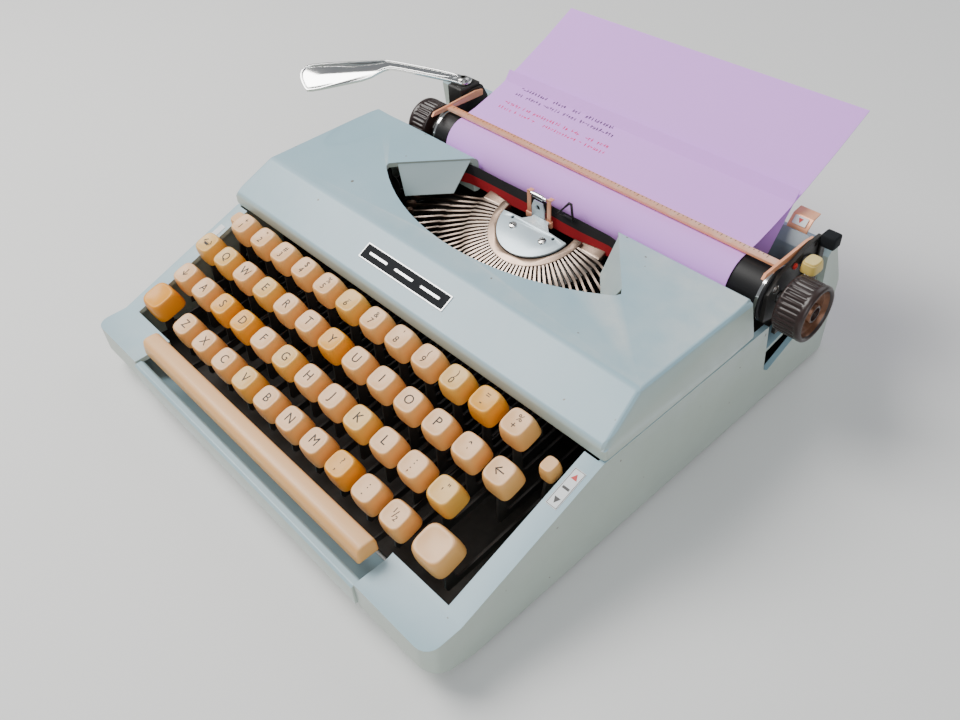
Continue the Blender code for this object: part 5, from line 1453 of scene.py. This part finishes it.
# %% Release levers with a cream tip and a black knob
RELEASE_THICK = 0.0013
low, high = node_span("carriage_release_lever")
release_shape = [(0.0065, 0.0740), (0.0120, 0.0740), (0.0120, 0.0860), (0.0045, 0.0888),
                 (0.0025, 0.0850), (0.0065, 0.0835)]
bm = side_slab([(low.y + y, z) for y, z in release_shape], low.x, low.x + RELEASE_THICK, 0.0003, 1,
               [circle((low.y + 0.0092, 0.0765), 0.0012, 14)])
release = add_piece("carriage_release_arm", bm, screw_steel, "carriage_release")
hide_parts("carriage_release_lever")
bm = cap_bmesh(high.y - low.y - 0.004, 0.0100, 0.0056, 28, 0.0, 0.80)
bmesh.ops.translate(bm, vec=case(low.x + 0.0052, low.y + 0.0036, high.z), verts=bm.verts)
add_piece("carriage_release_tip", bm, cream_tip, "carriage_release", 45.0)
low, high = node_span("paper_release_lever")
knob_z = high.z - 0.0042
arm_front, arm_back = high.y - 0.0064, high.y - 0.0019
bm = side_slab([(arm_front, low.z), (arm_back, low.z), (arm_back, knob_z), (arm_front, knob_z)],
               low.x, low.x + RELEASE_THICK, 0.0003, 1,
               [circle((high.y - 0.0042, low.z + 0.0030), 0.0012, 14)])
arm = add_piece("paper_release_arm", bm, black_enamel, "paper_release")
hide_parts("paper_release_lever")
bm = eased_box((low.x + 0.0002, high.y - 0.0075, knob_z - 0.0034),
               (low.x + 0.0078, high.y - 0.0008, knob_z + 0.0034), 0.0010, 3)
add_piece("paper_release_knob", bm, badge_black, "paper_release", 50.0)
print("release levers at", round(low.x, 4))

# %% [markdown]
# ## Paper table and sheet
# A sloping plate behind the platen carries the sheet, and the lilac sheet goes round the platen
# and stands up behind it. The sheet's own CAD route is right; it only needs smooth shading, a
# soft paper finish, and the lines typed on it. The typed lines are short generic strokes, in
# two colours as the ribbon gives them, laid just over the sheet.

# %% Table and sheet
dress("paper_table", grey_blue_enamel, 0.0004, "carriage", 2)
dress("paper_sheet", lilac_paper, 0.0, "carriage")
sheet_low, sheet_high = node_span("paper_sheet")
print("sheet", [round(v, 4) for v in (sheet_high - sheet_low)])


def sheet_height(y):
    """Height of the sheet's upper side, behind the platen, at a distance from the front."""
    start_y, start_z = PLATEN_Y - 0.0015, PLATEN_Z + PLATEN_RADIUS + 0.0007
    share = max(0.0, (y - start_y) / (sheet_high.y - start_y))
    return start_z + (sheet_high.z - start_z) * share ** 1.35


# %% Typed marks
LETTER_STEP = 0.0021
GAP_SHARE = 0.16            # of the letter places, left blank as gaps between words
SCATTER = 0.0005            # how far a stroke may lie from the middle of its place
INK_LIFT = 0.00012


def typed_line(x_start, x_end, y, finish, name, seed):
    """A line of little typed strokes that follows the sheet."""
    picker = random.Random(seed)
    rise = (sheet_height(y + 0.002) - sheet_height(y - 0.002)) / 0.004
    lean = Matrix.Rotation(math.atan(rise), 3, "X")
    bm = bmesh.new()
    x = x_start
    while x < x_end:
        if picker.random() > GAP_SHARE:
            for _ in range(picker.choice((2, 3, 3))):
                upright = picker.random() > 0.45
                stroke = flat_block(*((0.00034, 0.0018) if upright else (0.0013, 0.00034)), 0.00005)
                dx, dy = picker.uniform(-SCATTER, SCATTER), picker.uniform(-SCATTER, SCATTER)
                place = case(x + dx, y + dy, sheet_height(y) + rise * dy + INK_LIFT)
                bmesh.ops.rotate(stroke, matrix=lean, verts=stroke.verts)
                bmesh.ops.translate(stroke, vec=place, verts=stroke.verts)
                merge(bm, stroke)
        x += LETTER_STEP
    return add_piece(name, bm, finish, "carriage")


typed_lines = ((0.2570, typed_black), (0.2525, typed_black), (0.2450, typed_red), (0.2405, typed_red))
for number, (y, finish) in enumerate(typed_lines):
    typed_line(-0.060 - 0.001 * number, 0.012 + 0.002 * number, y, finish,
               f"typed_line_{number + 1}", 7 + number)
print("four typed lines")

# %% [markdown]
# ## Badge and labels
# The cover's front slope carries a dark badge in a thin bright frame; it is left plain here.
# The right rim has a white label that shows the ribbon's colour positions with a red triangle, a
# bar and a black triangle, and the left rim a small pale one. Each lies on a sloping face, so
# one matrix per slope places flat outlines on it.

# %% Slopes: each one is where it starts (Y and Z) and how steeply it rises
RIM_START, COVER_START = (0.018, 0.029), (0.100, 0.0668)
rim_rise = math.atan2(0.058 - 0.029, 0.100 - 0.018)
cover_rise = math.atan2(0.080 - 0.0668, 0.126 - 0.100)


def on_slope(bm, x, y, z, rise, lift):
    """Lay a flat piece on a face that slopes up to the rear."""
    place = (Matrix.Translation(case(x, y, z)) @ Matrix.Rotation(rise, 4, "X")
             @ Matrix.Translation((0, 0, lift)))
    bmesh.ops.transform(bm, matrix=place, verts=bm.verts)
    return bm


def on_cover(bm, x, y, lift):
    """Lay a flat piece on the front slope of the cover."""
    z = COVER_START[1] + (y - COVER_START[0]) * math.tan(cover_rise)
    return on_slope(bm, x, y, z, cover_rise, lift)


def on_rim(bm, x, y, lift):
    """Lay a flat piece on the sloping rim of the base."""
    z = RIM_START[1] + (y - RIM_START[0]) * math.tan(rim_rise)
    return on_slope(bm, x, y, z, rim_rise, lift)


def rounded_plate(half_x, half_y, corner, thickness, width=0.00015):
    """A flat rounded rectangle about the origin."""
    loop = []
    for cx, cy, turn in ((half_x - corner, half_y - corner, 0), (-half_x + corner, half_y - corner, 1),
                         (-half_x + corner, -half_y + corner, 2), (half_x - corner, -half_y + corner, 3)):
        loop += circle((cx, cy), corner, 5, turn * math.pi / 2, math.pi / 2)
    return slab(loop, thickness, width, 1)


# %% Badge
BADGE_Y = 0.1127
add_piece("badge_frame", on_cover(rounded_plate(0.0325, 0.0047, 0.0006, 0.0008), 0, BADGE_Y, 0.0001),
          silver_line, "cover")
add_piece("badge_face", on_cover(rounded_plate(0.0318, 0.0040, 0.0004, 0.0008), 0, BADGE_Y, 0.00025),
          badge_black, "cover")
bm = bmesh.new()
for x in (-0.020, 0.0, 0.020):
    bar = rounded_plate(0.0070, 0.0007, 0.0003, 0.0002, 0.00005)
    merge(bm, on_cover(bar, x, BADGE_Y, 0.00070))
add_piece("badge_bars", bm, silver_line, "cover")

# %% Rim labels
LABEL_X, LABEL_Y, TOUCH_LABEL_Y = HALF_CASE - 0.0056, 0.0835, 0.0800
MARK_LIFT, MARK_THICK = 0.00028, 0.0001
add_piece("selector_label", on_rim(rounded_plate(0.0031, 0.0098, 0.0004, 0.0003), LABEL_X, LABEL_Y, 0.0001),
          label_white, "case")


def square_loop(half_x, half_y):
    """The four corners of a rectangle about the origin."""
    return [(-half_x, -half_y), (half_x, -half_y), (half_x, half_y), (-half_x, half_y)]


border = slab(square_loop(0.00275, 0.00945), MARK_THICK, holes=[square_loop(0.00255, 0.00925)])
black_triangle = slab([(-0.0016, -0.0050), (0.0016, -0.0050), (0, -0.0078)], MARK_THICK)
bar = rounded_plate(0.0018, 0.0006, 0.0002, MARK_THICK, 0.0)
bm = bmesh.new()
for mark in (border, black_triangle, bar):
    merge(bm, on_rim(mark, LABEL_X, LABEL_Y, MARK_LIFT))
add_piece("selector_label_marks", bm, mark_black, "case")
red_triangle = slab([(-0.0016, 0.0048), (0.0016, 0.0048), (0, 0.0076)], MARK_THICK)
add_piece("selector_label_red", on_rim(red_triangle, LABEL_X, LABEL_Y, MARK_LIFT), mark_red, "case")
add_piece("touch_label", on_rim(rounded_plate(0.0024, 0.0060, 0.0004, 0.0003), -LABEL_X,
                                TOUCH_LABEL_Y, 0.0001), label_white, "case")
print("badge and labels in place")

# %% [markdown]
# ## Floors of the side notches
# Behind the cover the case sides drop into a notch, so that the knobs have room when the
# carriage slides. Looking down into it one sees a sloping floor in the case colour. It is a
# strip that follows the notch's own outline, just inside the wall.

# %% Notch floors
WALL_INNER = HALF_CASE - 0.0028
NOTCH_FRONT = 0.218
floor_line = [(NOTCH_FRONT, 0.0385), (NOTCH_FRONT + 0.004, 0.0330), (0.262, 0.0402),
              (0.2635, 0.060), (0.2615, 0.060), (0.2600, 0.0424), (NOTCH_FRONT + 0.0045, 0.0352),
              (NOTCH_FRONT + 0.0018, 0.0400)]
for where, side in (("left", -1), ("right", 1)):
    low_x, high_x = sorted((side * (WALL_INNER - 0.0002), side * (WALL_INNER - 0.0078)))
    add_piece(f"notch_floor_{where}", side_slab(floor_line, low_x, high_x, 0.0004, 2), case_blue,
              "case")
print("notch floors inside", round(WALL_INNER, 4))

# %% [markdown]
# ## Small parts at the right end
# A copper-toned flap with a white label and a red mark stands behind the platen's right end,
# and a red dot sits by the end of the bail. They are tiny, but they are the only bright spots
# there, so each one is a bent strip or a turned button in its own finish.

# %% Flap, its label, and the red dot
table_high = node_span("paper_table")[1]
flap_x, flap_y, flap_z = table_high.x - 0.0085, table_high.y + 0.0002, table_high.z - 0.0006
flap_shape = [(0.0, -0.006), (0.0009, -0.006), (0.0015, 0.0), (0.0055, 0.0042), (0.0110, 0.0052),
              (0.0110, 0.0060), (0.0050, 0.0052), (0.0008, 0.0008)]
bm = side_slab([(flap_y + y, flap_z + z) for y, z in flap_shape], flap_x - 0.0055, flap_x + 0.0055,
               0.0002, 1)
add_piece("margin_flap", bm, copper_scale, "carriage")
flap_rise = math.atan2(0.0042, 0.0040)
flap_label = rounded_plate(0.0036, 0.0022, 0.0004, 0.0002, 0.00005)
flap_mark = slab([(-0.0013, 0.0012), (0.0013, 0.0012), (0.0, -0.0012)], 0.0001)
for name, bm, lift, finish, slot in (("margin_flap_label", flap_label, 0.0006, label_white, "paper"),
                                     ("margin_flap_mark", flap_mark, 0.00078, mark_red, "ribbon")):
    add_piece(name, on_slope(bm, flap_x, flap_y + 0.0031, flap_z + 0.0030, flap_rise, lift), finish,
              "carriage")
end_x = node_span("carriage_frame")[1].x
bm = turned([(0, 0), (0, 0.0016), (0.0007, 0.0016), (0.0012, 0.0010), (0.0013, 0)], 20,
            case(end_x - 0.0001, PLATEN_Y + 0.0085, PLATEN_Z + PLATEN_RADIUS - 0.0010), RIGHTWARD)
add_piece("red_release_dot", bm, mark_red, "carriage")
bm = bmesh.new()
for y, z in ((0.0220, -0.0060), (0.0080, -0.0190), (-0.0055, 0.0075)):
    merge(bm, turned([(0, 0), (0, 0.0022), (0.0005, 0.0022), (0.0011, 0.0016), (0.0013, 0)], 24,
                     case(end_x, PLATEN_Y + y, PLATEN_Z + z), RIGHTWARD))
add_piece("end_plate_screws", bm, screw_steel, "carriage")
print("flap at", round(flap_x, 4), round(flap_y, 4))
